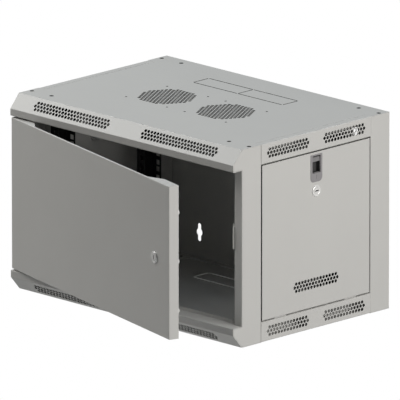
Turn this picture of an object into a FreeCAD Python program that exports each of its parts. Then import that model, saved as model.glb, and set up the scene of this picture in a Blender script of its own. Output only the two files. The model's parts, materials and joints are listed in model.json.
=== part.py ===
import FreeCAD, Part
import math
import os

# Wall mount network cabinet, six rack units high: welded sheet-metal frame, swing door with a
# cam lock, two tilt-off side panels with slide latch and cam lock, and four square-hole rack rails.
# Frame: origin at the middle of the back face, where the wall is. +X right, +Z up, the front faces -Y.
# All lengths are in millimetres, all angles in degrees.

Vector = FreeCAD.Vector
RIGHT = Vector(1, 0, 0)
BACK = Vector(0, 1, 0)
UP = Vector(0, 0, 1)

# --- overall size -------------------------------------------------------------------------------
WIDTH = 570.0
DEPTH = 400.0
HEIGHT = 368.0
SHEET = 1.2
BEND = 0.8
TOUCH = 0.3
OVERCUT = 1.0

# --- front bars: the folded front edges of the top and bottom panels ----------------------------
CHAMFER_DEPTH = 22.0
CHAMFER_HEIGHT = 25.7
LIP_HEIGHT = 13.3
RETURN_DEPTH = 27.7
STOP_HEIGHT = 6.6
STOP_END = 27.0

# --- posts and side rails -----------------------------------------------------------------------
FRONT_POST_DEPTH = 72.0
POST_SETBACK = 23.0
POST_FACE = 20.0
POST_RETURN = 14.0
REAR_POST_DEPTH = 48.0
SIDE_RAIL_HEIGHT = 37.5
SIDE_FLANGE = 15.6
CATCH_DEPTH = 17.0
CATCH_LIP = 16.0
SEAM = 0.3
TAB_WIDTH = 16.0
BACK_FLANGE = 14.0

# --- screws through the top and bottom panels ---------------------------------------------------
SCREW_R = 2.5
SCREW_HEAD_R = 4.0
SCREW_LENGTH = 8.0
SCREW_EDGE = 7.5
BRACKET_SCREW = 21.5
SCREW_Y_FRONT = 48.0
SCREW_Y_REAR = 20.0
HOLE_CLEAR = 0.15

# --- punched vents: holes on a triangular grid --------------------------------------------------
VENT_R = 2.75
VENT_PITCH = 7.8
BAR_VENT_COUNT = 24
BAR_VENT_X = 137.5
FAN_X = 75.0
FAN_Y = 192.0
FAN_SCREW_SPACING = 105.0
FAN_SCREW_R = 2.25

# --- cable entry knock-outs ---------------------------------------------------------------------
KNOCKOUT_WIDTH = 114.0
KNOCKOUT_DEPTH = 40.0
KNOCKOUT_REAR = 62.0
KNOCKOUT_SLOT = 1.4
KNOCKOUT_BRIDGE = 3.0

# --- wall keyholes ------------------------------------------------------------------------------
KEYHOLE_SIDE = 86.0
KEYHOLE_END = 50.0
KEYHOLE_LENGTH = 34.0
KEYHOLE_SLOT_R = 4.25
KEYHOLE_HEAD_R = 7.5

# --- rack rails and the brackets that carry them ------------------------------------------------
UNITS = 6
UNIT = 44.45
UNIT_HOLES = (6.35, 22.225, 38.1)
RACK_HOLE = 9.5
RACK_SIDE = 60.0
RACK_HOLE_INSET = 7.55
RACK_SHEET = 1.5
RACK_FLANGE = 22.0
RACK_DEPTH = 42.0
FRONT_RACK_Y = 64.0
REAR_RACK_Y = 284.0
BRACKET_LEG = 25.0
BRACKET_WIDTH = 33.0
BRACKET_START = 36.0
RACK_BOLT_R = 3.0
RACK_BOLT_HEAD_R = 5.5
RACK_BOLT_HEAD = 4.0
RACK_BOLT_LENGTH = 9.0
RACK_BOLT_DROP = 16.0

# --- door ---------------------------------------------------------------------------------------
DOOR_AJAR = 14.5
DOOR_SIDE_GAP = 2.5
DOOR_DEPTH = 20.0
DOOR_GAP = 3.0
DOOR_EDGE_R = 1.5
DOOR_FREE_RETURN = 15.0
DOOR_HINGE_RETURN = 8.0
DOOR_TOP_FULL = 50.0
DOOR_TOP_TAPER = 31.0
DOOR_TOP_THIN = 3.0
BUMPER_R = 4.0
BUMPER_PITCH = 91.0
HINGE_X = 6.5
HINGE_Y = 9.0
HINGE_R = 3.0
HINGE_FIT = 0.05
HINGE_SHOULDER_R = 5.5
HINGE_REACH = 8.0
SPRING_PIN_LENGTH = 44.0
SPRING_LENGTH = 13.0
SPRING_PLAY = 0.1
SPRING_WIRE = 1.0
GUIDE_DROP = 30.0
GUIDE_DEPTH = 16.0
GUIDE_WIDTH = 11.0
HANDLE_R = 2.0
HANDLE_LENGTH = 16.0

# --- cam locks ----------------------------------------------------------------------------------
LOCK_R = 9.5
LOCK_FACE_R = 11.0
LOCK_FACE = 2.5
PLUG_R = 6.0
PLUG_FIT = 0.05
KEYWAY_WIDTH = 2.0
KEYWAY_HEIGHT = 8.0
KEYWAY_DEPTH = 8.0
LOCK_NUT_R = 13.0
LOCK_NUT = 4.0
CAM_THICKNESS = 2.0
CAM_HALF_WIDTH = 8.0
CAM_CORNER = 3.0
CAM_DRIVE = 5.0
CAM_SCREW_R = 4.0
CAM_SCREW = 2.5
DOOR_LOCK_EDGE = 51.0
DOOR_LOCK_LENGTH = 36.5
DOOR_CAM_LENGTH = 29.0
SIDE_LOCK_DROP = 71.9
SIDE_LOCK_LENGTH = 22.0
SIDE_CAM_LENGTH = 65.0
STRIKE_BOTTOM = -4.0
STRIKE_HEIGHT = 42.0
STRIKE_NOSE = 13.0
STRIKE_Y = 34.5

# --- side panels and their slide latches --------------------------------------------------------
PANEL_GAP = 1.5
PANEL_TOP_GAP = 2.0
PANEL_FLANGE = 14.0
SEAT_CLEAR = 0.5
SEAT_LEDGE = 8.0
PANEL_TAB_LENGTH = 30.0
PANEL_TAB_DROP = 9.0
PANEL_TAB_Y = 90.0
PANEL_TAB_X = 11.0
PIVOT_INSET = 2.0
TAB_PLAY = 1.5
TAB_SWING = 2.6
LATCH_WIDTH = 29.5
LATCH_HEIGHT = 51.0
LATCH_DROP = 29.8
LATCH_BEZEL = 2.5
LATCH_PROUD = 0.8
LATCH_CORNER = 8.0
LATCH_BODY_DEPTH = 13.0
LATCH_WALL = 1.5
LATCH_TRAVEL = 7.0
LATCH_GROOVE = 1.0
LATCH_BODY_END = 1.0
SLIDER_FIT = 0.3
SLIDER_BOTTOM = -10.0
SLIDER_TOP = 20.0
CUP_TOP = 8.0
CUP_SLOPE = 4.0
STEM_HALF = 5.0
WINDOW_BOTTOM = -9.5
TONGUE_THICKNESS = 2.0
TONGUE_WIDTH = 16.0
TONGUE_GAP = 1.0
TONGUE_DROP = 1.5

# --- places worked out from the sizes above -----------------------------------------------------
HALF_W = WIDTH / 2
TOP = HEIGHT / 2
FRONT = -DEPTH
OPENING = TOP - CHAMFER_HEIGHT - LIP_HEIGHT
INNER_TOP = TOP - SHEET
SIDE_FRONT = FRONT + FRONT_POST_DEPTH
SIDE_REAR = -REAR_POST_DEPTH
SIDE_OPENING = TOP - SIDE_RAIL_HEIGHT
CATCH_X = HALF_W - CATCH_DEPTH
CATCH_Z = SIDE_OPENING - CATCH_LIP
SEAT_X = HALF_W - PANEL_FLANGE - SEAT_CLEAR
PANEL_FRONT = SIDE_FRONT + PANEL_GAP
PANEL_REAR = SIDE_REAR - PANEL_GAP
PANEL_TOP = SIDE_OPENING - PANEL_TOP_GAP
PANEL_BOTTOM = -SIDE_OPENING + PANEL_GAP
PANEL_MIDDLE = (PANEL_FRONT + PANEL_REAR) / 2
DOOR_LEFT = -HALF_W + DOOR_SIDE_GAP
DOOR_RIGHT = -DOOR_LEFT
LATCH_Z = PANEL_TOP - LATCH_DROP
SIDE_LOCK_Z = PANEL_TOP - SIDE_LOCK_DROP
DOOR_TOP = OPENING - DOOR_GAP
DOOR_BACK = FRONT + DOOR_DEPTH
HINGE = Vector(DOOR_LEFT + HINGE_X, FRONT + HINGE_Y, 0)
RACK_X = HALF_W - RACK_SIDE
RACK_HOLE_X = RACK_X + RACK_HOLE_INSET
RACK_WEB_X = RACK_X + RACK_FLANGE
BRACKET_X = RACK_WEB_X + RACK_SHEET
RACK_FRONTS = (FRONT + FRONT_RACK_Y, FRONT + REAR_RACK_Y)
KEYHOLE_X = HALF_W - KEYHOLE_SIDE
KEYHOLE_Z = TOP - KEYHOLE_END
RACK_TOP = INNER_TOP - RACK_SHEET - BEND - TOUCH
RACK_BOLT_Z = INNER_TOP - RACK_BOLT_DROP
ROW_PITCH = VENT_PITCH * math.sqrt(3) / 2
TONGUE_X = CATCH_X - SHEET - TONGUE_GAP
TONGUE_TOP = CATCH_Z - TONGUE_DROP
PIVOT_X = HALF_W - PIVOT_INSET
DOOR_LOCK = Vector(DOOR_RIGHT - DOOR_LOCK_EDGE, FRONT, 0)
LATCH = Vector(HALF_W, PANEL_MIDDLE, LATCH_Z)
SIDE_LOCK = Vector(HALF_W, PANEL_MIDDLE, SIDE_LOCK_Z)


# --- small helpers ------------------------------------------------------------------------------
def block(x0, x1, y0, y1, z0, z1):
    """A box between two corners given as ranges."""
    return Part.makeBox(x1 - x0, y1 - y0, z1 - z0, Vector(x0, y0, z0))


def rod(radius, start, end):
    """A round bar from one point to another."""
    return Part.makeCylinder(radius, (end - start).Length, start, end - start)


def prism(points, along):
    """A flat outline, given by its corners, pushed along a vector."""
    return Part.Face(Part.makePolygon(points + [points[0]])).extrude(along)


def polygon_bar(sides, radius, start, end, across):
    """A bar with a regular outline; one corner points along the vector across."""
    axis = end - start
    corners = []
    for i in range(sides):
        turn = FreeCAD.Rotation(axis, 360.0 * i / sides)
        corners.append(start + turn.multVec(across) * radius)
    return prism(corners, axis)


def joined(first, others):
    """One solid from touching pieces, with split faces merged."""
    return first.fuse(others).removeSplitter()


def mirror_x(shape):
    return shape.mirror(Vector(0, 0, 0), RIGHT)


def mirror_z(shape):
    return shape.mirror(Vector(0, 0, 0), UP)


def ajar(shape):
    """Swings a piece of the closed door to where the door rests."""
    turned = shape.copy()
    turned.rotate(HINGE, UP, -DOOR_AJAR)
    return turned


def sheet_profile(points, thickness, bend, normal):
    """The section of a folded sheet. The path is the outer skin, and the metal lies to its left,
    seen with normal pointing at the eye. Every fold has the inside radius bend, or is sharp at 0."""
    skin, back = [], []
    for i, corner in enumerate(points):
        before = (corner - points[i - 1]).normalize() if i > 0 else None
        after = (points[i + 1] - corner).normalize() if i < len(points) - 1 else None
        if before is None or after is None:
            left = normal.cross(after or before)
            skin.append((corner,))
            back.append((corner + left * thickness,))
            continue
        if bend == 0:
            mitre = (normal.cross(before) + normal.cross(after)) / (1 + before.dot(after))
            skin.append((corner,))
            back.append((corner + mitre * thickness,))
            continue
        turn = math.atan2(before.cross(after).dot(normal), before.dot(after))
        side = 1 if turn > 0 else -1
        skin_r = bend + thickness if turn > 0 else bend
        back_r = bend if turn > 0 else bend + thickness
        run = skin_r * math.tan(abs(turn) / 2)
        centre = corner - before * run + normal.cross(before) * side * skin_r
        to_corner = (corner - centre).normalize()
        for ring, radius in ((skin, skin_r), (back, back_r)):
            first = centre - normal.cross(before) * side * radius
            last = centre - normal.cross(after) * side * radius
            ring.append((first, centre + to_corner * radius, last))
    back.reverse()
    edges = []
    ring = skin + [tuple(reversed(stop)) for stop in back]
    for i, stop in enumerate(ring):
        if len(stop) == 3:
            edges.append(Part.Arc(*stop).toShape())
        following = ring[(i + 1) % len(ring)]
        edges.append(Part.makeLine(stop[-1], following[0]))
    return Part.Face(Part.Wire(edges))


def folded(points, thickness, along, normal, bend=BEND):
    """A sheet folded along the path and pushed along a vector."""
    return sheet_profile(points, thickness, bend, normal).extrude(along)


def punched(shape, tools):
    """Cuts a whole pattern of tools out of a sheet at once."""
    return shape.cut(Part.makeCompound(tools))


def vent_rows(count):
    """Grid places of a vent: three rows of count, count + 1 and count holes, around its middle."""
    places = []
    for row in (-1, 0, 1):
        in_row = count + 1 - abs(row)
        for i in range(in_row):
            places.append(((i - (in_row - 1) / 2) * VENT_PITCH, row * ROW_PITCH))
    return places


def vent_tools(places, middle, right, up, depth):
    """Four-sided punches at the places, laid out along right and up, that reach depth each way."""
    through = right.cross(up) * depth
    tools = []
    for x, y in places:
        spot = middle + right * x + up * y
        tools.append(polygon_bar(4, VENT_R, spot - through, spot + through, right))
    return tools


# --- frame --------------------------------------------------------------------------------------
def panel_screw_places():
    """Where the screws go through the top and bottom panels."""
    rows = (FRONT + SCREW_Y_FRONT, -SCREW_Y_REAR)
    columns = (HALF_W - SCREW_EDGE, BRACKET_X - BRACKET_SCREW)
    return [(side * x, y) for side in (-1, 1) for x in columns for y in rows]


def screw_holes(radius, z0, z1):
    """Punches for the panel screws, of the given radius."""
    return [
        polygon_bar(6, radius + HOLE_CLEAR, Vector(x, y, z0), Vector(x, y, z1), RIGHT)
        for x, y in panel_screw_places()
    ]


def knockout_slots():
    """Slots around two cable entries that share their middle line, with bridges left between them."""
    y1 = -KNOCKOUT_REAR
    y0 = y1 - KNOCKOUT_DEPTH
    half = KNOCKOUT_SLOT / 2
    gap = KNOCKOUT_BRIDGE / 2
    tools = []
    for y in (y0, y1):
        for x in (-KNOCKOUT_WIDTH, 0):
            tools.append((x + gap, x + KNOCKOUT_WIDTH - gap, y - half, y + half))
    for x in (-KNOCKOUT_WIDTH, 0, KNOCKOUT_WIDTH):
        tools.append((x - half, x + half, y0 + gap, y1 - gap))
    return [block(*tool, INNER_TOP - OVERCUT, TOP + OVERCUT) for tool in tools]


def lid_sheet():
    """Top panel with its folded front bar, before what differs between top and bottom is punched."""
    path = [
        Vector(-HALF_W, 0, TOP),
        Vector(-HALF_W, FRONT + CHAMFER_DEPTH, TOP),
        Vector(-HALF_W, FRONT, TOP - CHAMFER_HEIGHT),
        Vector(-HALF_W, FRONT, OPENING),
        Vector(-HALF_W, FRONT + RETURN_DEPTH, OPENING),
        Vector(-HALF_W, FRONT + RETURN_DEPTH, OPENING - STOP_HEIGHT),
    ]
    sheet = folded(path, SHEET, Vector(WIDTH, 0, 0), RIGHT)
    notch_x = HALF_W - SIDE_FLANGE
    post_x = HALF_W - POST_FACE - SEAM
    post_y = FRONT + POST_SETBACK - SEAM
    beyond = HALF_W + OVERCUT
    behind = FRONT + RETURN_DEPTH + SHEET + OVERCUT
    low, high = OPENING - STOP_HEIGHT - OVERCUT, OPENING + SHEET + OVERCUT
    under, over = INNER_TOP - OVERCUT, TOP + OVERCUT
    cuts = []
    for side in (-1, 1):
        near, far = sorted((side * notch_x, side * beyond))
        cuts.append(block(near, far, SIDE_FRONT, SIDE_REAR, under, over))
        near, far = sorted((side * post_x, side * beyond))
        cuts.append(block(near, far, post_y, behind, low, high))
        near, far = sorted((side * (HALF_W - STOP_END), side * beyond))
        cuts.append(block(near, far, post_y, behind, low, OPENING - SEAM))
    hinge_low = HINGE + UP * (OPENING - OVERCUT)
    cuts.append(rod(HINGE_R + HINGE_FIT, hinge_low, hinge_low + UP * (SHEET + 2 * OVERCUT)))
    cuts += screw_holes(SCREW_HEAD_R, under, over)
    cuts += knockout_slots()
    return punched(sheet, cuts)


def bar_vent_tools():
    """Vents in the sloping front of the bar, two groups either side of the middle."""
    slope = Vector(0, CHAMFER_DEPTH, CHAMFER_HEIGHT).normalize()
    middle_y = FRONT + CHAMFER_DEPTH / 2
    middle_z = TOP - CHAMFER_HEIGHT / 2
    tools = []
    for side in (-1, 1):
        middle = Vector(side * BAR_VENT_X, middle_y, middle_z)
        tools += vent_tools(vent_rows(BAR_VENT_COUNT), middle, RIGHT, slope, 2 * SHEET)
    return tools


def fan_screw_tools():
    """Round screw holes for the two fans under the top panel."""
    half = FAN_SCREW_SPACING / 2
    tools = []
    for x in (-FAN_X, FAN_X):
        for i in (-half, half):
            for j in (-half, half):
                low = Vector(x + i, FRONT + FAN_Y + j, INNER_TOP - OVERCUT)
                tools.append(rod(FAN_SCREW_R, low, low + UP * (SHEET + 2 * OVERCUT)))
    return tools


def top_panel():
    return punched(lid_sheet(), bar_vent_tools() + fan_screw_tools())


def bottom_panel():
    return mirror_z(lid_sheet())


def keyhole(x, z):
    """A wall hole: a round middle for the screw head, with a slot above and below it."""
    reach = KEYHOLE_LENGTH / 2 - KEYHOLE_SLOT_R
    back = BACK * 4 * SHEET
    middle = Vector(x, -2 * SHEET, z)
    up = UP * reach
    tool = rod(KEYHOLE_HEAD_R, middle, middle + back)
    for end in (up, -up):
        tool = tool.fuse(rod(KEYHOLE_SLOT_R, middle + end, middle + end + back))
    slot = block(x - KEYHOLE_SLOT_R, x + KEYHOLE_SLOT_R, -2 * SHEET, 2 * SHEET, z - reach, z + reach)
    return tool.fuse(slot)


def back_panel():
    """Back wall between the posts, folded forward under the top panel and over the bottom panel."""
    half = HALF_W - SHEET - SEAM
    flange_half = HALF_W - POST_FACE - SHEET
    path = [
        Vector(-half, -BACK_FLANGE, -INNER_TOP),
        Vector(-half, 0, -INNER_TOP),
        Vector(-half, 0, INNER_TOP),
        Vector(-half, -BACK_FLANGE, INNER_TOP),
    ]
    sheet = folded(path, SHEET, Vector(2 * half, 0, 0), RIGHT)
    cuts = [keyhole(x, z) for x in (-KEYHOLE_X, KEYHOLE_X) for z in (-KEYHOLE_Z, KEYHOLE_Z)]
    for side in (-1, 1):
        near, far = sorted((side * flange_half, side * (half + OVERCUT)))
        for z in (-INNER_TOP, INNER_TOP - 2 * SHEET):
            low, high = z - OVERCUT, z + 2 * SHEET + OVERCUT
            cuts.append(block(near, far, -BACK_FLANGE - OVERCUT, -SHEET, low, high))
    return punched(sheet, cuts)


def post_tab(x0, y0, y1):
    """End of a right post folded inward under the top panel, drilled for the screws."""
    tab = block(x0, HALF_W - SHEET, y0, y1, INNER_TOP - SHEET, INNER_TOP)
    return punched(tab, screw_holes(SCREW_R, INNER_TOP - SHEET - OVERCUT, INNER_TOP + OVERCUT))


def cheek():
    """Plate that runs forward from the post's web and closes the end of the front bar."""
    slope = CHAMFER_HEIGHT / CHAMFER_DEPTH
    under = TOP - SHEET / math.cos(math.atan(slope)) - SEAM
    near = SHEET + SEAM
    rear = POST_SETBACK + 2 * SHEET
    low, high = OPENING + SHEET + SEAM, INNER_TOP - SHEET
    outline = (
        (rear, low),
        (near, low),
        (near, under - slope * (CHAMFER_DEPTH - near)),
        (CHAMFER_DEPTH - (under - high) / slope, high),
        (rear, high),
    )
    return prism([Vector(HALF_W - SHEET, FRONT + y, z) for y, z in outline], Vector(SHEET, 0, 0))


def front_post():
    """Right front post: folded channel whose web runs forward as a cheek at both ends."""
    inner = HALF_W - POST_FACE
    path = [
        Vector(inner, FRONT + POST_SETBACK + POST_RETURN, -INNER_TOP),
        Vector(inner, FRONT + POST_SETBACK, -INNER_TOP),
        Vector(HALF_W, FRONT + POST_SETBACK, -INNER_TOP),
        Vector(HALF_W, SIDE_FRONT, -INNER_TOP),
        Vector(SEAT_X - SHEET, SIDE_FRONT, -INNER_TOP),
    ]
    post = folded(path, SHEET, UP * 2 * INNER_TOP, UP)
    reach = CATCH_Z - SEAT_CLEAR
    ledge = block(SEAT_X - SHEET, SEAT_X, SIDE_FRONT - SHEET, SIDE_FRONT + SEAT_LEDGE, -reach, reach)
    tab = post_tab(inner, FRONT + POST_SETBACK + SHEET, SIDE_FRONT - SHEET)
    return joined(post, [cheek(), mirror_z(cheek()), ledge, tab, mirror_z(tab)])


def rear_post():
    """Right rear post: folded channel against the back panel, with a seat for the side panel."""
    inner = SEAT_X - SHEET
    path = [
        Vector(inner, -SHEET - SEAM, -INNER_TOP),
        Vector(inner, SIDE_REAR, -INNER_TOP),
        Vector(HALF_W, SIDE_REAR, -INNER_TOP),
        Vector(HALF_W, 0, -INNER_TOP),
    ]
    post = folded(path, SHEET, UP * 2 * INNER_TOP, UP)
    reach = CATCH_Z - SEAT_CLEAR
    ledge = block(inner, SEAT_X, SIDE_REAR - SEAT_LEDGE, SIDE_REAR + 2 * SHEET, -reach, reach)
    tab = post_tab(inner, SIDE_REAR + SHEET, -SHEET - SEAM)
    return joined(post, [ledge, tab, mirror_z(tab)])


def side_rail():
    """Right top rail between the posts: top flange, web, seat for the panel and a catch lip."""
    path = [
        Vector(CATCH_X, SIDE_FRONT, CATCH_Z),
        Vector(CATCH_X, SIDE_FRONT, SIDE_OPENING),
        Vector(HALF_W, SIDE_FRONT, SIDE_OPENING),
        Vector(HALF_W, SIDE_FRONT, TOP),
        Vector(HALF_W - SIDE_FLANGE + SEAM, SIDE_FRONT, TOP),
    ]
    rail = folded(path, SHEET, Vector(0, SIDE_REAR - SIDE_FRONT, 0), Vector(0, -1, 0), 0)
    ends = [
        block(HALF_W - TAB_WIDTH, HALF_W - SHEET / 2, y, y + SHEET, SIDE_OPENING + SHEET / 2, INNER_TOP)
        for y in (SIDE_FRONT, SIDE_REAR - SHEET)
    ]
    return joined(rail, ends)


def panel_tab_places():
    return [PANEL_MIDDLE + side * PANEL_TAB_Y for side in (-1, 1)]


def bottom_side_rail():
    """Right bottom rail: the top rail upside down, slotted for the side panel's tabs."""
    tab_x = HALF_W - PANEL_TAB_X
    half = PANEL_TAB_LENGTH / 2 + TAB_PLAY
    x0, x1 = tab_x - SHEET - TAB_SWING, tab_x + TAB_PLAY
    low, high = -SIDE_OPENING - 2 * SHEET, -SIDE_OPENING + SHEET
    slots = [block(x0, x1, y - half, y + half, low, high) for y in panel_tab_places()]
    return punched(mirror_z(side_rail()), slots)


def panel_screws():
    """Flush screws that hold the top panel to the posts and the rack brackets."""
    screws = []
    for x, y in panel_screw_places():
        low = Vector(x, y, INNER_TOP - SCREW_LENGTH)
        seat = Vector(x, y, INNER_TOP)
        shank = polygon_bar(6, SCREW_R, low, seat, RIGHT)
        head = polygon_bar(6, SCREW_HEAD_R, seat, seat + UP * SHEET, RIGHT)
        screws.append(head.fuse(shank))
    return Part.makeCompound(screws)


# --- rack rails ---------------------------------------------------------------------------------
def rack_hole_heights():
    """Heights of the square holes: three to each rack unit."""
    bottom = -UNITS * UNIT / 2
    return [bottom + unit * UNIT + z for unit in range(UNITS) for z in UNIT_HOLES]


def rack_rail(front_y):
    """Right rack rail: a channel whose front flange has the square rack holes."""
    rear_y = front_y + RACK_DEPTH
    path = [
        Vector(RACK_X, front_y, -RACK_TOP),
        Vector(RACK_WEB_X, front_y, -RACK_TOP),
        Vector(RACK_WEB_X, rear_y, -RACK_TOP),
        Vector(RACK_X, rear_y, -RACK_TOP),
    ]
    rail = folded(path, RACK_SHEET, UP * 2 * RACK_TOP, UP, 0)
    half = RACK_HOLE / 2
    x0, x1 = RACK_HOLE_X - half, RACK_HOLE_X + half
    y0, y1 = front_y - RACK_SHEET, front_y + 2 * RACK_SHEET
    tools = [block(x0, x1, y0, y1, z - half, z + half) for z in rack_hole_heights()]
    return punched(rail, tools + [rack_bolt_hole(front_y, z) for z in (-RACK_BOLT_Z, RACK_BOLT_Z)])


def rack_bolt_hole(front_y, z):
    start = Vector(RACK_WEB_X - 2 * RACK_SHEET, front_y + RACK_DEPTH / 2, z)
    end = start + RIGHT * 4 * RACK_SHEET
    return polygon_bar(6, RACK_BOLT_R + HOLE_CLEAR, start, end, UP)


def depth_bracket():
    """Right top bracket: an angle under the top panel that runs front to back outside the rails."""
    start = FRONT + BRACKET_START
    path = [
        Vector(BRACKET_X, start, INNER_TOP - BRACKET_LEG),
        Vector(BRACKET_X, start, INNER_TOP),
        Vector(BRACKET_X - BRACKET_WIDTH, start, INNER_TOP),
    ]
    length = -BACK_FLANGE - TOUCH - start
    bracket = folded(path, RACK_SHEET, Vector(0, length, 0), Vector(0, -1, 0), 0)
    holes = screw_holes(SCREW_R, INNER_TOP - RACK_SHEET - OVERCUT, INNER_TOP + OVERCUT)
    return punched(bracket, holes + [rack_bolt_hole(y, RACK_BOLT_Z) for y in RACK_FRONTS])


def rack_bolt(front_y, z):
    """Hexagon bolt that clamps a right rack rail to its bracket."""
    seat = Vector(RACK_WEB_X - RACK_SHEET, front_y + RACK_DEPTH / 2, z)
    head = polygon_bar(6, RACK_BOLT_HEAD_R, seat - RIGHT * RACK_BOLT_HEAD, seat, UP)
    return head.fuse(polygon_bar(6, RACK_BOLT_R, seat, seat + RIGHT * RACK_BOLT_LENGTH, UP))


def rack_bolts():
    right = [rack_bolt(y, z) for y in RACK_FRONTS for z in (-RACK_BOLT_Z, RACK_BOLT_Z)]
    return Part.makeCompound(right + [mirror_x(bolt) for bolt in right])


# --- cam locks ----------------------------------------------------------------------------------
# Each is made upright with its face at z = 0 towards +Z and its cam along +Y, then placed.
def lock_barrel(length):
    """Fixed body of the lock: face flange and round barrel, bored for the plug."""
    seat, top, tail = Vector(0, 0, 0), UP * LOCK_FACE, UP * (TOUCH - length)
    face = rod(LOCK_FACE_R, seat, top)
    body = rod(LOCK_R, tail, seat)
    return face.fuse(body).cut(rod(PLUG_R + PLUG_FIT, tail - top, 2 * top))


def lock_nut(panel_sheet):
    """Hexagon nut behind the sheet that the lock stands in."""
    low, high = UP * (-panel_sheet - LOCK_NUT), UP * -panel_sheet
    nut = polygon_bar(6, LOCK_NUT_R, low, high, BACK)
    return nut.cut(rod(LOCK_R + HOLE_CLEAR, low, high))


def lock_plug(length):
    """Turning core of the lock: keyway in front, square drive for the cam behind."""
    plug = rod(PLUG_R, UP * -length, UP * (LOCK_FACE - TOUCH))
    half = KEYWAY_WIDTH / 2
    tall = KEYWAY_HEIGHT / 2
    plug = plug.cut(block(-half, half, -tall, tall, LOCK_FACE - KEYWAY_DEPTH, LOCK_FACE))
    side = CAM_DRIVE / 2
    return plug.fuse(block(-side, side, -side, side, -length - CAM_THICKNESS, -length))


def lock_cam(length, reach):
    """Flat cam on the plug's square drive, pointing along +Y."""
    low, high = -length - CAM_THICKNESS, -length
    hub = rod(CAM_HALF_WIDTH, UP * low, UP * high)
    blade = block(-CAM_HALF_WIDTH, CAM_HALF_WIDTH, 0, reach, low, high)
    corners = [
        edge for edge in blade.Edges
        if edge.BoundBox.YMin > reach - CAM_CORNER and edge.BoundBox.ZLength > CAM_THICKNESS / 2
    ]
    blade = blade.makeChamfer(CAM_CORNER, corners)
    side = CAM_DRIVE / 2
    return joined(hub, [blade]).cut(block(-side, side, -side, side, low - OVERCUT, high + OVERCUT))


def cam_screw(length):
    """Hexagon screw that holds the cam on the plug."""
    high = UP * (-length - CAM_THICKNESS)
    return polygon_bar(6, CAM_SCREW_R, high - UP * CAM_SCREW, high, BACK)


def placed(shape, origin, outward, up):
    """Sets a piece made upright into the cabinet: +Z goes outward and +Y goes up."""
    turned = shape.copy()
    turned.Placement = FreeCAD.Placement(origin, FreeCAD.Rotation(up.cross(outward), up, outward, "ZYX"))
    return turned


def cam_lock(prefix, length, reach, origin, outward, cam_way, finish):
    """All pieces of one cam lock, as node name and shape. The keyway lies along the cam."""
    pieces = {
        "lock_barrel": lock_barrel(length),
        "lock_nut": lock_nut(SHEET),
        "lock_plug": lock_plug(length),
        "lock_cam": lock_cam(length, reach),
        "cam_screw": cam_screw(length),
    }
    return {
        prefix + name: finish(placed(shape, origin, outward, cam_way))
        for name, shape in pieces.items()
    }


# --- door, made closed and then swung ajar ------------------------------------------------------


def door_panel():
    """Folded door leaf: its top and bottom flanges are deep at the ends and thin between them."""
    leaf = block(DOOR_LEFT, DOOR_RIGHT, FRONT, DOOR_BACK, -DOOR_TOP, DOOR_TOP)
    rim = [edge for edge in leaf.Edges if edge.BoundBox.YMax < FRONT + SHEET]
    leaf = leaf.makeFillet(DOOR_EDGE_R, rim)
    inner = DOOR_TOP - SHEET
    left, right = DOOR_LEFT + SHEET, DOOR_RIGHT - SHEET
    hollow = block(left, right, FRONT + SHEET, DOOR_BACK + OVERCUT, -inner, inner)
    low, behind = -DOOR_TOP - OVERCUT, DOOR_BACK + OVERCUT
    taper = DOOR_TOP_FULL + DOOR_TOP_TAPER
    relief = [
        Vector(DOOR_LEFT + DOOR_TOP_FULL, behind, low),
        Vector(DOOR_LEFT + DOOR_TOP_FULL, DOOR_BACK, low),
        Vector(DOOR_LEFT + taper, FRONT + DOOR_TOP_THIN, low),
        Vector(DOOR_RIGHT - taper, FRONT + DOOR_TOP_THIN, low),
        Vector(DOOR_RIGHT - DOOR_TOP_FULL, DOOR_BACK, low),
        Vector(DOOR_RIGHT - DOOR_TOP_FULL, behind, low),
    ]
    pin = rod(HINGE_R + HINGE_FIT, HINGE - UP * TOP, HINGE + UP * TOP)
    lock = rod(LOCK_R + HOLE_CLEAR, DOOR_LOCK - BACK * OVERCUT, DOOR_LOCK + BACK * 2 * SHEET)
    leaf = leaf.cut([hollow, prism(relief, UP * -2 * low), pin, lock])
    y0, y1 = DOOR_BACK - SHEET, DOOR_BACK
    free = block(DOOR_RIGHT - DOOR_FREE_RETURN, right, y0, y1, -inner, inner)
    hinge = block(left, DOOR_LEFT + DOOR_HINGE_RETURN, y0, y1, -inner, inner)
    return joined(leaf, [free, hinge])


def door_bumpers():
    """Three soft studs on the free edge, which meet the post when the door is shut."""
    height = POST_SETBACK - DOOR_DEPTH - TOUCH
    studs = []
    for i in (-1, 0, 1):
        foot = Vector(DOOR_RIGHT - DOOR_FREE_RETURN / 2, DOOR_BACK, i * BUMPER_PITCH)
        studs.append(polygon_bar(8, BUMPER_R, foot, foot + BACK * height, UP))
    return Part.makeCompound(studs)


def hinge_guide():
    """Angle inside the door that guides the sprung hinge pin and holds its spring."""
    ear_z = DOOR_TOP - GUIDE_DROP
    x, y = DOOR_LEFT + SHEET, FRONT + SHEET
    ear = block(x, x + GUIDE_WIDTH, y, y + GUIDE_DEPTH, ear_z - SHEET, ear_z)
    wall = block(x, x + SHEET, y, y + GUIDE_DEPTH, ear_z - GUIDE_WIDTH, ear_z)
    axis = HINGE + UP * (ear_z - GUIDE_WIDTH)
    bore = rod(HINGE_R + HINGE_FIT, axis, axis + UP * 2 * GUIDE_WIDTH)
    return joined(ear, [wall]).cut(bore)


def spring_pin():
    """Upper hinge pin with a collar for its spring and a side arm to pull it down by."""
    high = HINGE + UP * (OPENING + 2 * SHEET)
    low = high - UP * SPRING_PIN_LENGTH
    collar = HINGE + UP * (DOOR_TOP - GUIDE_DROP + SPRING_LENGTH)
    arm = low + UP * HANDLE_R
    pieces = [
        rod(HINGE_R + SPRING_WIRE + TOUCH, collar, collar + UP * 2 * SHEET),
        polygon_bar(6, HANDLE_R, arm, arm + RIGHT * HANDLE_LENGTH, UP),
    ]
    return rod(HINGE_R, low, high).fuse(pieces)


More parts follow.
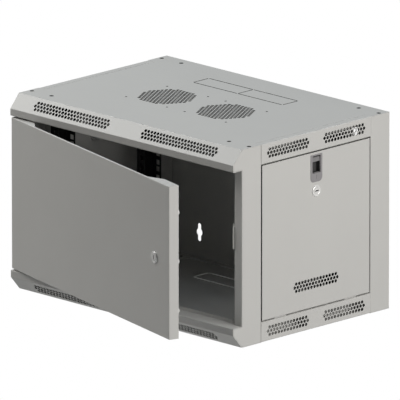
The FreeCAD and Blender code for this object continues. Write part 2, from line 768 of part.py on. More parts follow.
def hinge_spring():
    """Coil spring between guide and collar, as a plain sleeve of its outer size."""
    low = HINGE + UP * (DOOR_TOP - GUIDE_DROP + SPRING_PLAY)
    high = low + UP * (SPRING_LENGTH - 2 * SPRING_PLAY)
    inner = HINGE_R + 2 * TOUCH
    bore = polygon_bar(8, inner, low, high, RIGHT)
    return polygon_bar(8, inner + SPRING_WIRE, low, high, RIGHT).cut(bore)


def lower_hinge_pin():
    """Fixed lower pin, riveted into the bottom bar, with a shoulder that the door stands on."""
    high = HINGE - UP * (DOOR_TOP - HINGE_REACH)
    plate = HINGE - UP * OPENING
    shoulder = rod(HINGE_SHOULDER_R, plate, HINGE - UP * (DOOR_TOP + TOUCH))
    under = plate - UP * SHEET
    head = rod(HINGE_SHOULDER_R, under - UP * 2 * SHEET, under)
    return rod(HINGE_R, under, high).fuse([shoulder, head])


def lock_strike():
    """Angle on the right post's inner edge that the door's cam turns behind."""
    x = HALF_W - POST_FACE
    y0, y1 = FRONT + POST_SETBACK + BEND + SHEET, FRONT + STRIKE_Y + SHEET
    z0, z1 = STRIKE_BOTTOM, STRIKE_BOTTOM + STRIKE_HEIGHT
    base = block(x - SHEET, x, y0, y1, z0, z1)
    nose = block(x - STRIKE_NOSE, x, FRONT + STRIKE_Y, y1, z0, z1)
    return joined(base, [nose])


# --- side panels --------------------------------------------------------------------------------
def latch_outline(half_width, bottom, top, radius):
    """Latch outline with round lower corners, drawn upright around the latch's middle."""
    cut = radius * (1 - math.sqrt(0.5))
    left, right = -half_width, half_width
    edges = [
        Part.makeLine(Vector(left, top, 0), Vector(left, bottom + radius, 0)),
        Part.Arc(
            Vector(left, bottom + radius, 0),
            Vector(left + cut, bottom + cut, 0),
            Vector(left + radius, bottom, 0),
        ).toShape(),
        Part.makeLine(Vector(left + radius, bottom, 0), Vector(right - radius, bottom, 0)),
        Part.Arc(
            Vector(right - radius, bottom, 0),
            Vector(right - cut, bottom + cut, 0),
            Vector(right, bottom + radius, 0),
        ).toShape(),
        Part.makeLine(Vector(right, bottom + radius, 0), Vector(right, top, 0)),
        Part.makeLine(Vector(right, top, 0), Vector(left, top, 0)),
    ]
    return Part.Face(Part.Wire(edges))


def latch_plate(inset, z0, z1):
    """Slab of the latch outline, drawn in by inset."""
    half = LATCH_HEIGHT / 2 - inset
    face = latch_outline(LATCH_WIDTH / 2 - inset, -half, half, LATCH_CORNER - inset)
    face.translate(UP * z0)
    return face.extrude(UP * (z1 - z0))


def side_panel():
    """Right side panel: a folded tray with vents, latch and lock openings, and two hook tabs."""
    x0 = HALF_W - PANEL_FLANGE
    tray = block(x0, HALF_W, PANEL_FRONT, PANEL_REAR, PANEL_BOTTOM, PANEL_TOP)
    rim = [edge for edge in tray.Edges if edge.BoundBox.XMin > HALF_W - SHEET]
    tray = tray.makeFillet(DOOR_EDGE_R, rim)
    y0, y1 = PANEL_FRONT + SHEET, PANEL_REAR - SHEET
    z0, z1 = PANEL_BOTTOM + SHEET, PANEL_TOP - SHEET
    inside = block(x0 - OVERCUT, HALF_W - SHEET, y0, y1, z0, z1)
    tab_x = HALF_W - PANEL_TAB_X
    half = PANEL_TAB_LENGTH / 2
    sill = -SIDE_OPENING + TOUCH
    tip = -SIDE_OPENING - PANEL_TAB_DROP
    feet = []
    for y in panel_tab_places():
        feet.append(block(x0, PIVOT_X, y - half, y + half, sill, PANEL_BOTTOM + SHEET / 2))
        feet.append(block(tab_x - SHEET, tab_x, y - half, y + half, tip, sill + SHEET))
    cuts = [
        placed(latch_plate(LATCH_BEZEL - TOUCH, -2 * SHEET, SHEET), LATCH, RIGHT, UP),
        rod(LOCK_R + HOLE_CLEAR, SIDE_LOCK - RIGHT * 2 * SHEET, SIDE_LOCK + RIGHT * OVERCUT),
    ]
    return punched(joined(tray.cut(inside), feet), cuts)


def latch_housing():
    """Latch body: bezel over the panel, neck through it and a pocket behind it for the slider."""
    back = -LATCH_BODY_DEPTH
    half_w = LATCH_WIDTH / 2 - LATCH_WALL / 2
    pocket_w = half_w - 1.5 * LATCH_WALL
    pocket_top = SLIDER_TOP + LATCH_TRAVEL + SLIDER_FIT
    pocket_low = SLIDER_BOTTOM - SLIDER_FIT
    low = LATCH_BODY_END - LATCH_HEIGHT / 2
    body = block(-half_w, half_w, low, pocket_top + SHEET, back, -SHEET)
    body = joined(latch_plate(0, 0, LATCH_PROUD), [latch_plate(LATCH_BEZEL, -SHEET, 0), body])
    pocket = block(-pocket_w, pocket_w, pocket_low, pocket_top, back + LATCH_WALL, -SHEET - TOUCH)
    window_w = pocket_w - LATCH_WALL
    window_top = LATCH_HEIGHT / 2 - LATCH_BEZEL
    above = LATCH_PROUD + OVERCUT
    window = block(-window_w, window_w, WINDOW_BOTTOM, window_top, -LATCH_WALL * 2, above)
    slot_w = STEM_HALF + SLIDER_FIT
    slot_low, slot_high = back - OVERCUT, back + LATCH_WALL + OVERCUT
    slot = block(-slot_w, slot_w, -slot_w, slot_w + LATCH_TRAVEL, slot_low, slot_high)
    groove_low, groove_high = LATCH_BEZEL * 2 - LATCH_HEIGHT / 2, WINDOW_BOTTOM - LATCH_BEZEL
    half = LATCH_GROOVE / 2
    groove = block(-half, half, groove_low, groove_high, LATCH_PROUD - half, above)
    return body.cut([pocket, window, slot, groove])


def latch_slider():
    """Finger slider of the latch, drawn down: a cup under a sloping grip, and a stem behind."""
    half_w = LATCH_WIDTH / 2 - 2 * LATCH_WALL - SLIDER_FIT
    front = -SHEET - TOUCH - SLIDER_FIT
    back = -LATCH_BODY_DEPTH + LATCH_WALL + SLIDER_FIT
    body = block(-half_w, half_w, SLIDER_BOTTOM, SLIDER_TOP, back, front)
    cup = [
        Vector(-half_w + LATCH_WALL, SLIDER_BOTTOM + LATCH_WALL, front + OVERCUT),
        Vector(-half_w + LATCH_WALL, SLIDER_BOTTOM + LATCH_WALL, back + LATCH_WALL),
        Vector(-half_w + LATCH_WALL, CUP_TOP, back + LATCH_WALL),
        Vector(-half_w + LATCH_WALL, CUP_TOP + CUP_SLOPE, front + OVERCUT),
    ]
    cup = prism(cup, RIGHT * 2 * (half_w - LATCH_WALL))
    stem = block(-STEM_HALF, STEM_HALF, -STEM_HALF, STEM_HALF, TONGUE_X - HALF_W, back)
    return joined(body.cut(cup), [stem])


def latch_tongue():
    """Steel tongue on the slider's stem, which rises behind the catch lip of the top rail."""
    z = TONGUE_X - HALF_W
    half = TONGUE_WIDTH / 2
    return block(-half, half, -2 * STEM_HALF, TONGUE_TOP - LATCH_Z, z - TONGUE_THICKNESS, z)


# --- all nodes ----------------------------------------------------------------------------------
def cabinet_nodes():
    nodes = {
        "top_panel": top_panel(),
        "bottom_panel": bottom_panel(),
        "back_panel": back_panel(),
        "top_screws": panel_screws(),
        "bottom_screws": mirror_z(panel_screws()),
        "rack_bolts": rack_bolts(),
        "lock_strike": lock_strike(),
        "lower_hinge_pin": lower_hinge_pin(),
    }
    right = {
        "front_post": front_post(),
        "rear_post": rear_post(),
        "top_side_rail": side_rail(),
        "bottom_side_rail": bottom_side_rail(),
        "top_depth_bracket": depth_bracket(),
        "bottom_depth_bracket": mirror_z(depth_bracket()),
        "front_rack_rail": rack_rail(RACK_FRONTS[0]),
        "rear_rack_rail": rack_rail(RACK_FRONTS[1]),
    }
    for name, shape in right.items():
        nodes["right_" + name] = shape
        nodes["left_" + name] = mirror_x(shape)
    return nodes


def door_nodes():
    nodes = {
        "door_panel": ajar(door_panel()),
        "door_bumpers": ajar(door_bumpers()),
        "hinge_guide": ajar(hinge_guide()),
        "spring_pin": ajar(spring_pin()),
        "hinge_spring": ajar(hinge_spring()),
    }
    lock = (DOOR_LOCK_LENGTH, DOOR_CAM_LENGTH, DOOR_LOCK, -BACK, UP)
    nodes.update(cam_lock("door_", *lock, ajar))
    return nodes


def side_nodes(prefix, finish):
    """Side panel, latch and lock, made for the right side and finished for either."""
    nodes = {
        "side_panel": side_panel(),
        "latch_housing": placed(latch_housing(), LATCH, RIGHT, UP),
        "latch_slider": placed(latch_slider(), LATCH, RIGHT, UP),
        "latch_tongue": placed(latch_tongue(), LATCH, RIGHT, UP),
    }
    nodes = {prefix + name: finish(shape) for name, shape in nodes.items()}
    lock = (SIDE_LOCK_LENGTH, SIDE_CAM_LENGTH, SIDE_LOCK, RIGHT, BACK)
    nodes.update(cam_lock(prefix, *lock, finish))
    return nodes


def main():
    os.makedirs("parts", exist_ok=True)
    nodes = cabinet_nodes()
    nodes.update(door_nodes())
    nodes.update(side_nodes("right_", lambda shape: shape))
    nodes.update(side_nodes("left_", mirror_x))
    for name, shape in nodes.items():
        shape.exportStep("parts/" + name + ".step")
    print(len(nodes), "nodes written")


main()
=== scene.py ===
import json
import math

import bmesh
import bpy
from mathutils import Matrix, Vector
from mathutils.geometry import delaunay_2d_cdt

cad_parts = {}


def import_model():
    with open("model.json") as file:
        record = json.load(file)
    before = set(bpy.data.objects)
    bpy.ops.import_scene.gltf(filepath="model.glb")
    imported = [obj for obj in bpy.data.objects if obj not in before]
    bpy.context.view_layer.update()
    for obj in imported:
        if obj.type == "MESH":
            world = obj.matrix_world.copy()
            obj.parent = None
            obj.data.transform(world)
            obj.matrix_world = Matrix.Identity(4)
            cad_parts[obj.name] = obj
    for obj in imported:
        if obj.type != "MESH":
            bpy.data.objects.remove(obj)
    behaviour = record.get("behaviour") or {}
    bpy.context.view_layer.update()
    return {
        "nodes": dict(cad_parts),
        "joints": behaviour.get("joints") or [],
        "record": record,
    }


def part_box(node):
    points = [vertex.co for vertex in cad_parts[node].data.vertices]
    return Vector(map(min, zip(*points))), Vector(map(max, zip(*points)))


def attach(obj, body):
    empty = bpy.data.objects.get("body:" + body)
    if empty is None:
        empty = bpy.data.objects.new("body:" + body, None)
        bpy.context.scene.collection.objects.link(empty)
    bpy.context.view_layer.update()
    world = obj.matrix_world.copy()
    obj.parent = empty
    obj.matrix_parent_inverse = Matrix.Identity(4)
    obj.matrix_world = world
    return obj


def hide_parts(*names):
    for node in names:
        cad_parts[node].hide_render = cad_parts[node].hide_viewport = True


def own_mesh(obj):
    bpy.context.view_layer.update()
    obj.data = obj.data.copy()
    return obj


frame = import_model()

# Wall mount network cabinet. Lengths are in metres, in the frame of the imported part: the origin is
# the middle of the back face, +X points right, +Z up, and the front faces -Y.
MM = 0.001

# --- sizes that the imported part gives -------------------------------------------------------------
LID_LOW, LID_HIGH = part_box("top_panel")
HALF_W = LID_HIGH.x
FRONT = LID_LOW.y
TOP = LID_HIGH.z
RAIL_LOW, RAIL_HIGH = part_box("right_top_side_rail")
PANEL_LOW, PANEL_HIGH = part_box("right_side_panel")
HOUSING_LOW, HOUSING_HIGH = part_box("right_latch_housing")
JOINTS = {joint["name"]: joint for joint in frame["joints"]}
HINGE = Vector(JOINTS["door_hinge"]["pos_m"])
AJAR = math.radians(-JOINTS["door_hinge"]["range_deg"][0])

# --- sheet and folds ------------------------------------------------------------------------------
SHEET = 1.2 * MM
BEND = 0.8 * MM
BEND_STEPS = 4
CHAMFER_DEPTH = 22.0 * MM
CHAMFER_HEIGHT = 25.7 * MM
LIP_HEIGHT = 13.3 * MM
RETURN_DEPTH = 27.7 * MM
STOP_HEIGHT = 6.6 * MM
STOP_HALF_WIDTH = 258.0 * MM
POST_FACE = 20.0 * MM
POST_SETBACK = 23.0 * MM
SEAM = 0.3 * MM
RAIL_HEIGHT = 37.5 * MM
RAIL_FLANGE = 15.6 * MM
RAIL_SEAM = 0.9 * MM
RAIL_TAB = 16.0 * MM
CATCH_DEPTH = 17.0 * MM
HINGE_HOLE_R = 3.05 * MM

# --- vents ----------------------------------------------------------------------------------------
HOLE_R = 3.1 * MM
HOLE_STEPS = 14
SCREW_HOLE_STEPS = 24
HINGE_HOLE_STEPS = 20
FAN_SCREW_STEPS = 16
PITCH = 7.8 * MM
ROW_PITCH = PITCH * math.sqrt(3) / 2
BAR_VENT_X = 137.5 * MM
BAR_VENT_COUNT = 24
RAIL_VENT_COUNT = 13
RAIL_VENT_Y = (-260.0 * MM, -116.0 * MM)
RAIL_VENT_DROP = 18.3 * MM
PANEL_VENT_COUNT = 14
PANEL_VENT_Z = -99.0 * MM
FAN_X = 75.0 * MM
FAN_Y = -208.0 * MM
GRILLE_R = 56.5 * MM
FAN_SCREW_HALF = 52.5 * MM
FAN_SCREW_R = 2.25 * MM

# --- cable entries, screws, rack holes ------------------------------------------------------------
KNOCKOUT_WIDTH = 114.0 * MM
KNOCKOUT_FRONT = -102.0 * MM
KNOCKOUT_REAR = -62.0 * MM
KNOCKOUT_SLOT = 2.4 * MM
KNOCKOUT_BRIDGE = 3.0 * MM
SCREW_PLACES = [(x, y) for x in (227.0 * MM, 277.5 * MM) for y in (-352.0 * MM, -20.0 * MM)]
SCREW_R = 4.1 * MM
HEAD_R = 4.0 * MM
SOCKET_R = 1.7 * MM
SHANK_R = 2.5 * MM
SHANK_TIP_R = 2.0 * MM
SHANK_TIP = 0.285 * MM
# The shanks are drawn cut off just past the brackets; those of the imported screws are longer.
SHANK = 1.9 * MM
# Screw head and socket as shares of their radius and of the head's height.
HEAD_PROFILE = ((1.0, 0.0), (1.0, 0.6), (0.93, 0.88), (0.82, 1.0))
SOCKET_PROFILE = ((1.12, 1.0), (1.0, 0.94), (1.0, 0.35), (0.0, 0.2))
TURNED_STEPS = 24
SHANK_STEPS = 16
HEXAGON = 6
RACK_SHEET = 1.5 * MM
RACK_HOLE = 9.5 * MM
RACK_HOLE_IN = 7.55 * MM
UNIT = 44.45 * MM
UNITS = 6
UNIT_HOLES = (6.35 * MM, 22.225 * MM, 38.1 * MM)
BOLT_Z = 166.8 * MM
BOLT_FLANGE_R = 5.5 * MM
BOLT_FLANGE = 0.8 * MM
BOLT_FLANGE_STEPS = 20
BOLT_CHAMFER = 0.4 * MM
BOLT_HEX_R = 5.0 * MM
BOLT_HEX_TOP_R = 4.5 * MM
BOLT_HEX_START = 0.6 * MM
BOLT_HEAD = 4.0 * MM
BOLT_SHANK_R = 3.0 * MM
BOLT_TIP_R = 2.6 * MM
BOLT_SHANK = 9.0 * MM

# --- locks ----------------------------------------------------------------------------------------
LOCK_R = 11.0 * MM
LOCK_FACE = 2.5 * MM
PLUG_R = 6.0 * MM
PLUG_FIT = 0.15 * MM
PLUG_SUNK = 0.3 * MM
KEYWAY_WIDTH = 2.0 * MM
KEYWAY_HEIGHT = 8.0 * MM
KEYWAY_DEPTH = 5.5 * MM
BARREL_R = 9.5 * MM
BARREL_SHORT = 0.3 * MM
LOCK_HOLE_R = 9.65 * MM
LOCK_HOLE_STEPS = 32
LOCK_STEPS = 48
# Rounded face of a lock: how far in from LOCK_R, or out from PLUG_R, and the share of LOCK_FACE.
FACE_RING = ((0.0, 0.45), (0.35 * MM, 0.72), (1.0 * MM, 0.92), (1.9 * MM, 1.0))
FACE_WELL = ((1.3 * MM, 1.0), (0.8 * MM, 0.86), (PLUG_FIT, 0.8))
DRIVE_R = 3.5 * MM
DRIVE = 2.0 * MM
DRIVE_SIDES = 4
DOOR_LOCK_X = 231.5 * MM
DOOR_LOCK_LENGTH = 36.5 * MM
SIDE_LOCK_LENGTH = 22.0 * MM

# --- side panels and latches ----------------------------------------------------------------------
LATCH_BEZEL = 2.5 * MM
LATCH_CORNER = 8.0 * MM
EDGE_R = 1.0 * MM
CORNER_STEPS = 6
PANEL_INSET = 0.8 * MM
PANEL_FLANGE = 14.0 * MM
# Depth of the outer band of the rim that is painted black as shade.
PANEL_RIM = 4.0 * MM
PANEL_GAP = 1.5 * MM
TAB_HALF = 15.0 * MM
TAB_PLAY = 1.5 * MM
TAB_SPACING = 90.0 * MM
TAB_IN = 11.0 * MM
TAB_FOOT_IN = 2.0 * MM
TAB_SLOT = (2.2 * MM, 7.5 * MM)
LATCH_HEIGHT = 51.0 * MM
SLIDER_FACE = 1.8 * MM
SLIDER_BACK = 11.2 * MM
SLIDER_HALF = 11.45 * MM
SLIDER_WALL = 1.5 * MM
SLIDER_DROP = 10.0 * MM
SLIDER_CUP = (8.0 * MM, 11.55 * MM)
STEM_HALF = 5.0 * MM

# --- strike, door bumpers and spring --------------------------------------------------------------
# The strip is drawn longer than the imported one, at its nose and towards the front.
STRIKE_MORE = 2.0 * MM
STRIKE_FORWARD = 4.6 * MM
BUMPER_R = 4.8 * MM
BUMPER_IN = 5.4 * MM
BUMPER_RISE = 2.9 * MM
BUMPER_PITCH = 91.0 * MM
BUMPER_STEPS = 28
# Bumper as shares of its radius and its rise.
BUMPER_PROFILE = ((0.0, 0.0), (1.0, 0.0), (0.98, 0.6), (0.86, 0.85), (0.6, 0.97), (0.0, 1.0))
DOOR_DEPTH = 20.0 * MM
DOOR_RIGHT = 282.5 * MM
SPRING_TURNS = 5.5
SPRING_WIRE_R = 0.5 * MM
SPRING_STEPS = 24
SPRING_END = 0.08
SMOOTH_TURNED = 35
SMOOTH_LOCK = 30
SMOOTH_BUMPER = 60

# --- places that follow from the sizes above ------------------------------------------------------
RAIL_VENT_HEIGHT = RAIL_HEIGHT - RAIL_VENT_DROP
PANEL_MIDDLE = (PANEL_LOW.y + PANEL_HIGH.y) / 2
PANEL_TAB_Y = (PANEL_MIDDLE - TAB_SPACING, PANEL_MIDDLE + TAB_SPACING)
LATCH_TOP = HOUSING_LOW.z + LATCH_HEIGHT

# --- finishes: noise scales, depths of grain, and the band of a noise that is used ----------------
CLOUD_SCALE = 14.0
PEEL_SCALE = 1500.0
FLECK_SCALE = 4200.0
STREAK_SCALE = (300.0, 300.0, 3000.0)
MOTTLE_SCALE = 220.0
GRAIN_SCALE = 2600.0
TONE_SCALE = 60.0
PEEL_DEPTH = 0.1 * MM
FINE_DEPTH = 0.05 * MM
GRAIN_STRENGTH = 0.15
NOISE_BAND = (0.3, 0.7)
GRAIN_BAND = (0.0, 0.6)
SOFT_SAMPLES = 4
COAT_SHINE = 0.4
COAT_SHADE = 0.04
METAL_SHADE = 0.14
PLASTIC_SHADE = 0.1

# --- studio ---------------------------------------------------------------------------------------
CENTRE = Vector((0, FRONT / 2, 0))
VIEW_TURN = 45.0
VIEW_RISE = 15.1
VIEW_WIDTH = 725.0 * MM
VIEW_TARGET = Vector((-6.7 * MM, -192.0 * MM, 0))
VIEW_LENS = 1500.0
FILL = 0.02
SENSOR = 36.0
LAMP_DISTANCE = 3.0
FLOOR_REACH = 6.0
FLOOR_DROP = 0.6
FLOOR_TONE = 0.6
# Each lamp: its direction from the middle of the cabinet, its size, power and colour.
LAMPS = {
    "key": ((0.9, 0.02, 0.36), 1.6, 63.0, (1.0, 0.981, 0.952)),
    "top": ((-0.1, 0.1, 1.0), 2.0, 32.0, (0.82, 0.918, 1.0)),
    "sheen": ((-0.68, -0.36, 0.63), 1.5, 51.9, (1.0, 0.981, 0.943)),
}


MERGE = 1e-6
CUT_TOLERANCE = 1e-7


# --- mesh helpers ---------------------------------------------------------------------------------
def finished(name, bm, material, body, replaces=(), smooth=None, second="painted_shade_dark"):
    """Turns a bmesh into a named piece that rides on a body and stands for the CAD nodes given."""
    bmesh.ops.recalc_face_normals(bm, faces=bm.faces)
    mesh = bpy.data.meshes.new(name)
    bm.to_mesh(mesh)
    bm.free()
    if smooth:
        mesh.shade_smooth()
        mesh.set_sharp_from_angle(angle=math.radians(smooth))
    piece = bpy.data.objects.new(name, mesh)
    bpy.context.scene.collection.objects.link(piece)
    mesh.materials.append(MATERIALS[material])
    # Faces with the second index take the second finish, by default the near-black painted shade.
    if len({face.material_index for face in mesh.polygons}) > 1:
        mesh.materials.append(MATERIALS[second])
    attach(piece, body)
    if replaces:
        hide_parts(*replaces)
    return piece


class Section:
    """The section of a folded sheet, as in the CAD: a path along the outer skin, metal to its left."""

    def __init__(self, corners, bend=BEND, thickness=SHEET):
        self.thickness = thickness
        self.stretches = []
        self.base = []
        v = 0.0
        trim = 0.0
        for k in range(len(corners) - 1):
            way = (corners[k + 1] - corners[k]).normalized()
            length = (corners[k + 1] - corners[k]).length
            self.base.append(v - trim)
            following = 0.0
            if k + 2 < len(corners):
                after = (corners[k + 2] - corners[k + 1]).normalized()
                turn = math.atan2(way.x * after.y - way.y * after.x, way.dot(after))
                radius = bend + thickness if turn > 0 else bend
                following = radius * math.tan(abs(turn) / 2)
            straight = length - trim - following
            self.stretches.append((v, v + straight, corners[k] + way * trim, way, 0.0, 1.0))
            v += straight
            if following:
                start = corners[k + 1] - way * following
                self.stretches.append((v, v + radius * abs(turn), start, way, turn, radius))
                v += radius * abs(turn)
            trim = following
        self.length = v

    def at(self, straight, distance):
        """How far along the developed sheet a place is that lies on a straight, from its corner."""
        return self.base[straight] + distance

    def place(self, v, depth):
        """The point of the section at v along the skin and depth into the metal."""
        for start_v, end_v, start, way, turn, radius in self.stretches:
            if v <= end_v + 1e-9:
                break
        left = Vector((-way.y, way.x))
        if not turn:
            return start + way * (v - start_v) + left * depth
        side = 1.0 if turn > 0 else -1.0
        centre = start + left * side * radius
        angle = side * (v - start_v) / radius
        spoke = Matrix.Rotation(angle, 2) @ (-left * side)
        return centre + spoke * (radius - side * depth)

    def lines(self):
        """Places along the sheet that need an edge across it: the bends and the steps in them."""
        found = []
        for start_v, end_v, _, _, turn, _ in self.stretches:
            if turn:
                found += [start_v + (end_v - start_v) * i / BEND_STEPS for i in range(BEND_STEPS + 1)]
        return found


def hand(side):
    return "right" if side > 0 else "left"


def quarter(start=0.0):
    """The angles of a rounded corner."""
    return [start + math.pi / 2 * i / CORNER_STEPS for i in range(CORNER_STEPS + 1)]


def ring(x, y, radius, steps=HOLE_STEPS):
    turns = [math.tau * i / steps for i in range(steps)]
    return [(x + radius * math.cos(turn), y + radius * math.sin(turn)) for turn in turns]


def box_ring(x0, x1, y0, y1):
    return [(x0, y0), (x1, y0), (x1, y1), (x0, y1)]


def developed(bm, outline, holes, section, to_row, plain=()):
    """Adds a sheet to the mesh, cut flat to the outline and holes and then folded to the section.
    The walls of the holes have the second finish, a near-black painted shade unless another is given, and
    those of the plain ones the first."""
    loops = [outline, *plain, *holes]
    first_hole = sum(len(loop) for loop in (outline, *plain))
    points, faces = [], []
    for loop in loops:
        faces.append(list(range(len(points), len(points) + len(loop))))
        points += [Vector(point) for point in loop]
    low = min(point.x for point in points)
    high = max(point.x for point in points)
    edges = []
    punched = range(first_hole, len(points))
    for v in section.lines():
        edges.append((len(points), len(points) + 1))
        points += [Vector((low, v)), Vector((high, v))]
    cut = delaunay_2d_cdt(points, edges, faces, 0, CUT_TOLERANCE)
    flat, origins, sources = cut[0], cut[3], cut[5]
    solid = [face for face, source in zip(cut[2], sources) if list(source) == [0]]
    skins = []
    for depth in (0.0, section.thickness):
        row = {}
        for face in solid:
            for i in face:
                if i not in row:
                    row[i] = bm.verts.new(to_row(flat[i].x, section.place(flat[i].y, depth)))
        skins.append(row)
    outer, inner = skins
    uses = {}
    for face in solid:
        bm.faces.new([outer[i] for i in face])
        bm.faces.new([inner[i] for i in reversed(face)])
        for a, b in zip(face, face[1:] + face[:1]):
            uses.setdefault(frozenset((a, b)), []).append((a, b))
    for sides in uses.values():
        if len(sides) == 1:
            a, b = sides[0]
            wall = bm.faces.new([outer[b], outer[a], inner[a], inner[b]])
            # Walls of punched holes get the second finish: painted shade that makes the holes read dark.
            if all(any(k in punched for k in origins[i]) for i in (a, b)):
                wall.material_index = 1


def vent(middle_u, middle_v, count):
    """Rings of a three-row vent: count, count + 1 and count holes."""
    rings = []
    for row in (-1, 0, 1):
        in_row = count + 1 - abs(row)
        for i in range(in_row):
            u = middle_u + (i - (in_row - 1) / 2) * PITCH
            rings.append(ring(u, middle_v + row * ROW_PITCH, HOLE_R))
    return rings


def grille(middle_u, middle_v):
    """Rings of a round fan grille on the same grid."""
    reach = int(GRILLE_R / ROW_PITCH) + 1
    rings = []
    for row in range(-reach, reach + 1):
        for i in range(-reach, reach + 1):
            u = (i + (row % 2) / 2) * PITCH
            v = row * ROW_PITCH
            if math.hypot(u, v) + HOLE_R <= GRILLE_R:
                rings.append(ring(middle_u + u, middle_v + v, HOLE_R))
    return rings


def lathe(bm, profile, steps, place):
    """Adds a turned piece: profile points are (radius, height), and place turns them to the row."""
    rows = []
    for radius, height in profile:
        if radius == 0:
            rows.append([bm.verts.new(place(Vector((0, 0, height))))] * steps)
            continue
        turns = [math.tau * i / steps for i in range(steps)]
        spots = [Vector((radius * math.cos(t), radius * math.sin(t), height)) for t in turns]
        rows.append([bm.verts.new(place(spot)) for spot in spots])
    for low, high in zip(rows, rows[1:]):
        for i in range(steps):
            j = (i + 1) % steps
            corners = [low[i], low[j], high[j], high[i]]
            face = [v for k, v in enumerate(corners) if v not in corners[:k]]
            if len(face) > 2:
                bm.faces.new(face)


def upright(origin, outward, up):
    """Places a piece drawn with its axis along +Z: +Z goes outward and +Y goes up."""
    across = up.cross(outward)
    turn = Matrix((across, up, outward)).transposed()
    return lambda spot: origin + turn @ spot


def ajar(place):
    """The same placing, swung with the door to where it rests."""
    turn = Matrix.Rotation(-AJAR, 3, "Z")
    return lambda spot: HINGE + turn @ (place(spot) - HINGE)


# --- materials ------------------------------------------------------------------------------------
def node_of(tree, kind, **inputs):
    node = tree.nodes.new(kind)
    for key, value in inputs.items():
        node.inputs[key.replace("_", " ")].default_value = value
    return node


def base_material(name):
    material = bpy.data.materials.new(name)
    material.use_nodes = True
    tree = material.node_tree
    shader = tree.nodes["Principled BSDF"]
    place = tree.nodes.new("ShaderNodeTexCoord")
    return material, tree, shader, place.outputs["Object"]


def mixed_colour(tree, factor, first, second):
    mix = tree.nodes.new("ShaderNodeMix")
    mix.data_type = "RGBA"
    mix.inputs[6].default_value = (*first, 1)
    mix.inputs[7].default_value = (*second, 1)
    tree.links.new(factor, mix.inputs[0])
    return mix.outputs[2]


def remapped(tree, value, low, high, to_low, to_high):
    node = tree.nodes.new("ShaderNodeMapRange")
    for i, number in enumerate((low, high, to_low, to_high)):
        node.inputs[i + 1].default_value = number
    tree.links.new(value, node.inputs[0])
    return node.outputs[0]


def coated(name, colour, roughness, grain, edge_r):
    """Powder coat: fine orange-peel grain, faint clouding and softened edges."""
    material, tree, shader, place = base_material(name)
    cloud = node_of(tree, "ShaderNodeTexNoise", Scale=CLOUD_SCALE, Detail=3.0)
    peel = node_of(tree, "ShaderNodeTexNoise", Scale=PEEL_SCALE, Detail=2.0)
    fleck = node_of(tree, "ShaderNodeTexNoise", Scale=FLECK_SCALE, Detail=1.0)
    for noise in (cloud, peel, fleck):
        tree.links.new(place, noise.inputs["Vector"])
    darker = [part * (1 - COAT_SHADE) for part in colour]
    clouded = mixed_colour(tree, cloud.outputs[0], colour, darker)
    tree.links.new(clouded, shader.inputs["Base Color"])
    rough = remapped(tree, fleck.outputs[0], *NOISE_BAND, roughness - 0.04, roughness + 0.04)
    tree.links.new(rough, shader.inputs["Roughness"])
    soft = node_of(tree, "ShaderNodeBevel", Radius=edge_r)
    soft.samples = SOFT_SAMPLES
    bump = node_of(tree, "ShaderNodeBump", Strength=grain, Distance=PEEL_DEPTH)
    tree.links.new(peel.outputs[0], bump.inputs["Height"])
    tree.links.new(soft.outputs[0], bump.inputs["Normal"])
    tree.links.new(bump.outputs[0], shader.inputs["Normal"])
    shader.inputs["Specular IOR Level"].default_value = COAT_SHINE
    return material


def metal(name, colour, roughness, streak, edge_r, shine=1.0):
    """Plated or drawn metal with fine streaks and a little mottling."""
    material, tree, shader, place = base_material(name)
    stretch = tree.nodes.new("ShaderNodeMapping")
    stretch.inputs["Scale"].default_value = STREAK_SCALE
    tree.links.new(place, stretch.inputs["Vector"])
    lines = node_of(tree, "ShaderNodeTexNoise", Scale=1.0, Detail=4.0)
    tree.links.new(stretch.outputs[0], lines.inputs["Vector"])
    mottle = node_of(tree, "ShaderNodeTexNoise", Scale=MOTTLE_SCALE, Detail=3.0)
    tree.links.new(place, mottle.inputs["Vector"])
    tone = mixed_colour(tree, mottle.outputs[0], colour, [part * (1 - METAL_SHADE) for part in colour])
    tree.links.new(tone, shader.inputs["Base Color"])
    rough = remapped(tree, lines.outputs[0], *NOISE_BAND, roughness - 0.06, roughness + 0.08)
    tree.links.new(rough, shader.inputs["Roughness"])
    shader.inputs["Metallic"].default_value = shine
    soft = node_of(tree, "ShaderNodeBevel", Radius=edge_r)
    soft.samples = SOFT_SAMPLES
    bump = node_of(tree, "ShaderNodeBump", Strength=streak, Distance=FINE_DEPTH)
    tree.links.new(lines.outputs[0], bump.inputs["Height"])
    tree.links.new(soft.outputs[0], bump.inputs["Normal"])
    tree.links.new(bump.outputs[0], shader.inputs["Normal"])
    return material


def moulded(name, colour, roughness, edge_r):
    """Moulded plastic or rubber with a fine spark-eroded grain."""
    material, tree, shader, place = base_material(name)
    grain = tree.nodes.new("ShaderNodeTexVoronoi")
    grain.inputs["Scale"].default_value = GRAIN_SCALE
    tone = node_of(tree, "ShaderNodeTexNoise", Scale=TONE_SCALE, Detail=2.0)
    tree.links.new(place, grain.inputs["Vector"])
    tree.links.new(place, tone.inputs["Vector"])
    shaded = mixed_colour(tree, tone.outputs[0], colour, [part * (1 - PLASTIC_SHADE) for part in colour])
    tree.links.new(shaded, shader.inputs["Base Color"])
    rough = remapped(tree, grain.outputs[0], *GRAIN_BAND, roughness - 0.05, roughness + 0.05)
    tree.links.new(rough, shader.inputs["Roughness"])
    soft = node_of(tree, "ShaderNodeBevel", Radius=edge_r)
    soft.samples = SOFT_SAMPLES
    bump = node_of(tree, "ShaderNodeBump", Strength=GRAIN_STRENGTH, Distance=FINE_DEPTH)
    tree.links.new(grain.outputs[0], bump.inputs["Height"])
    tree.links.new(soft.outputs[0], bump.inputs["Normal"])
    tree.links.new(bump.outputs[0], shader.inputs["Normal"])
    return material


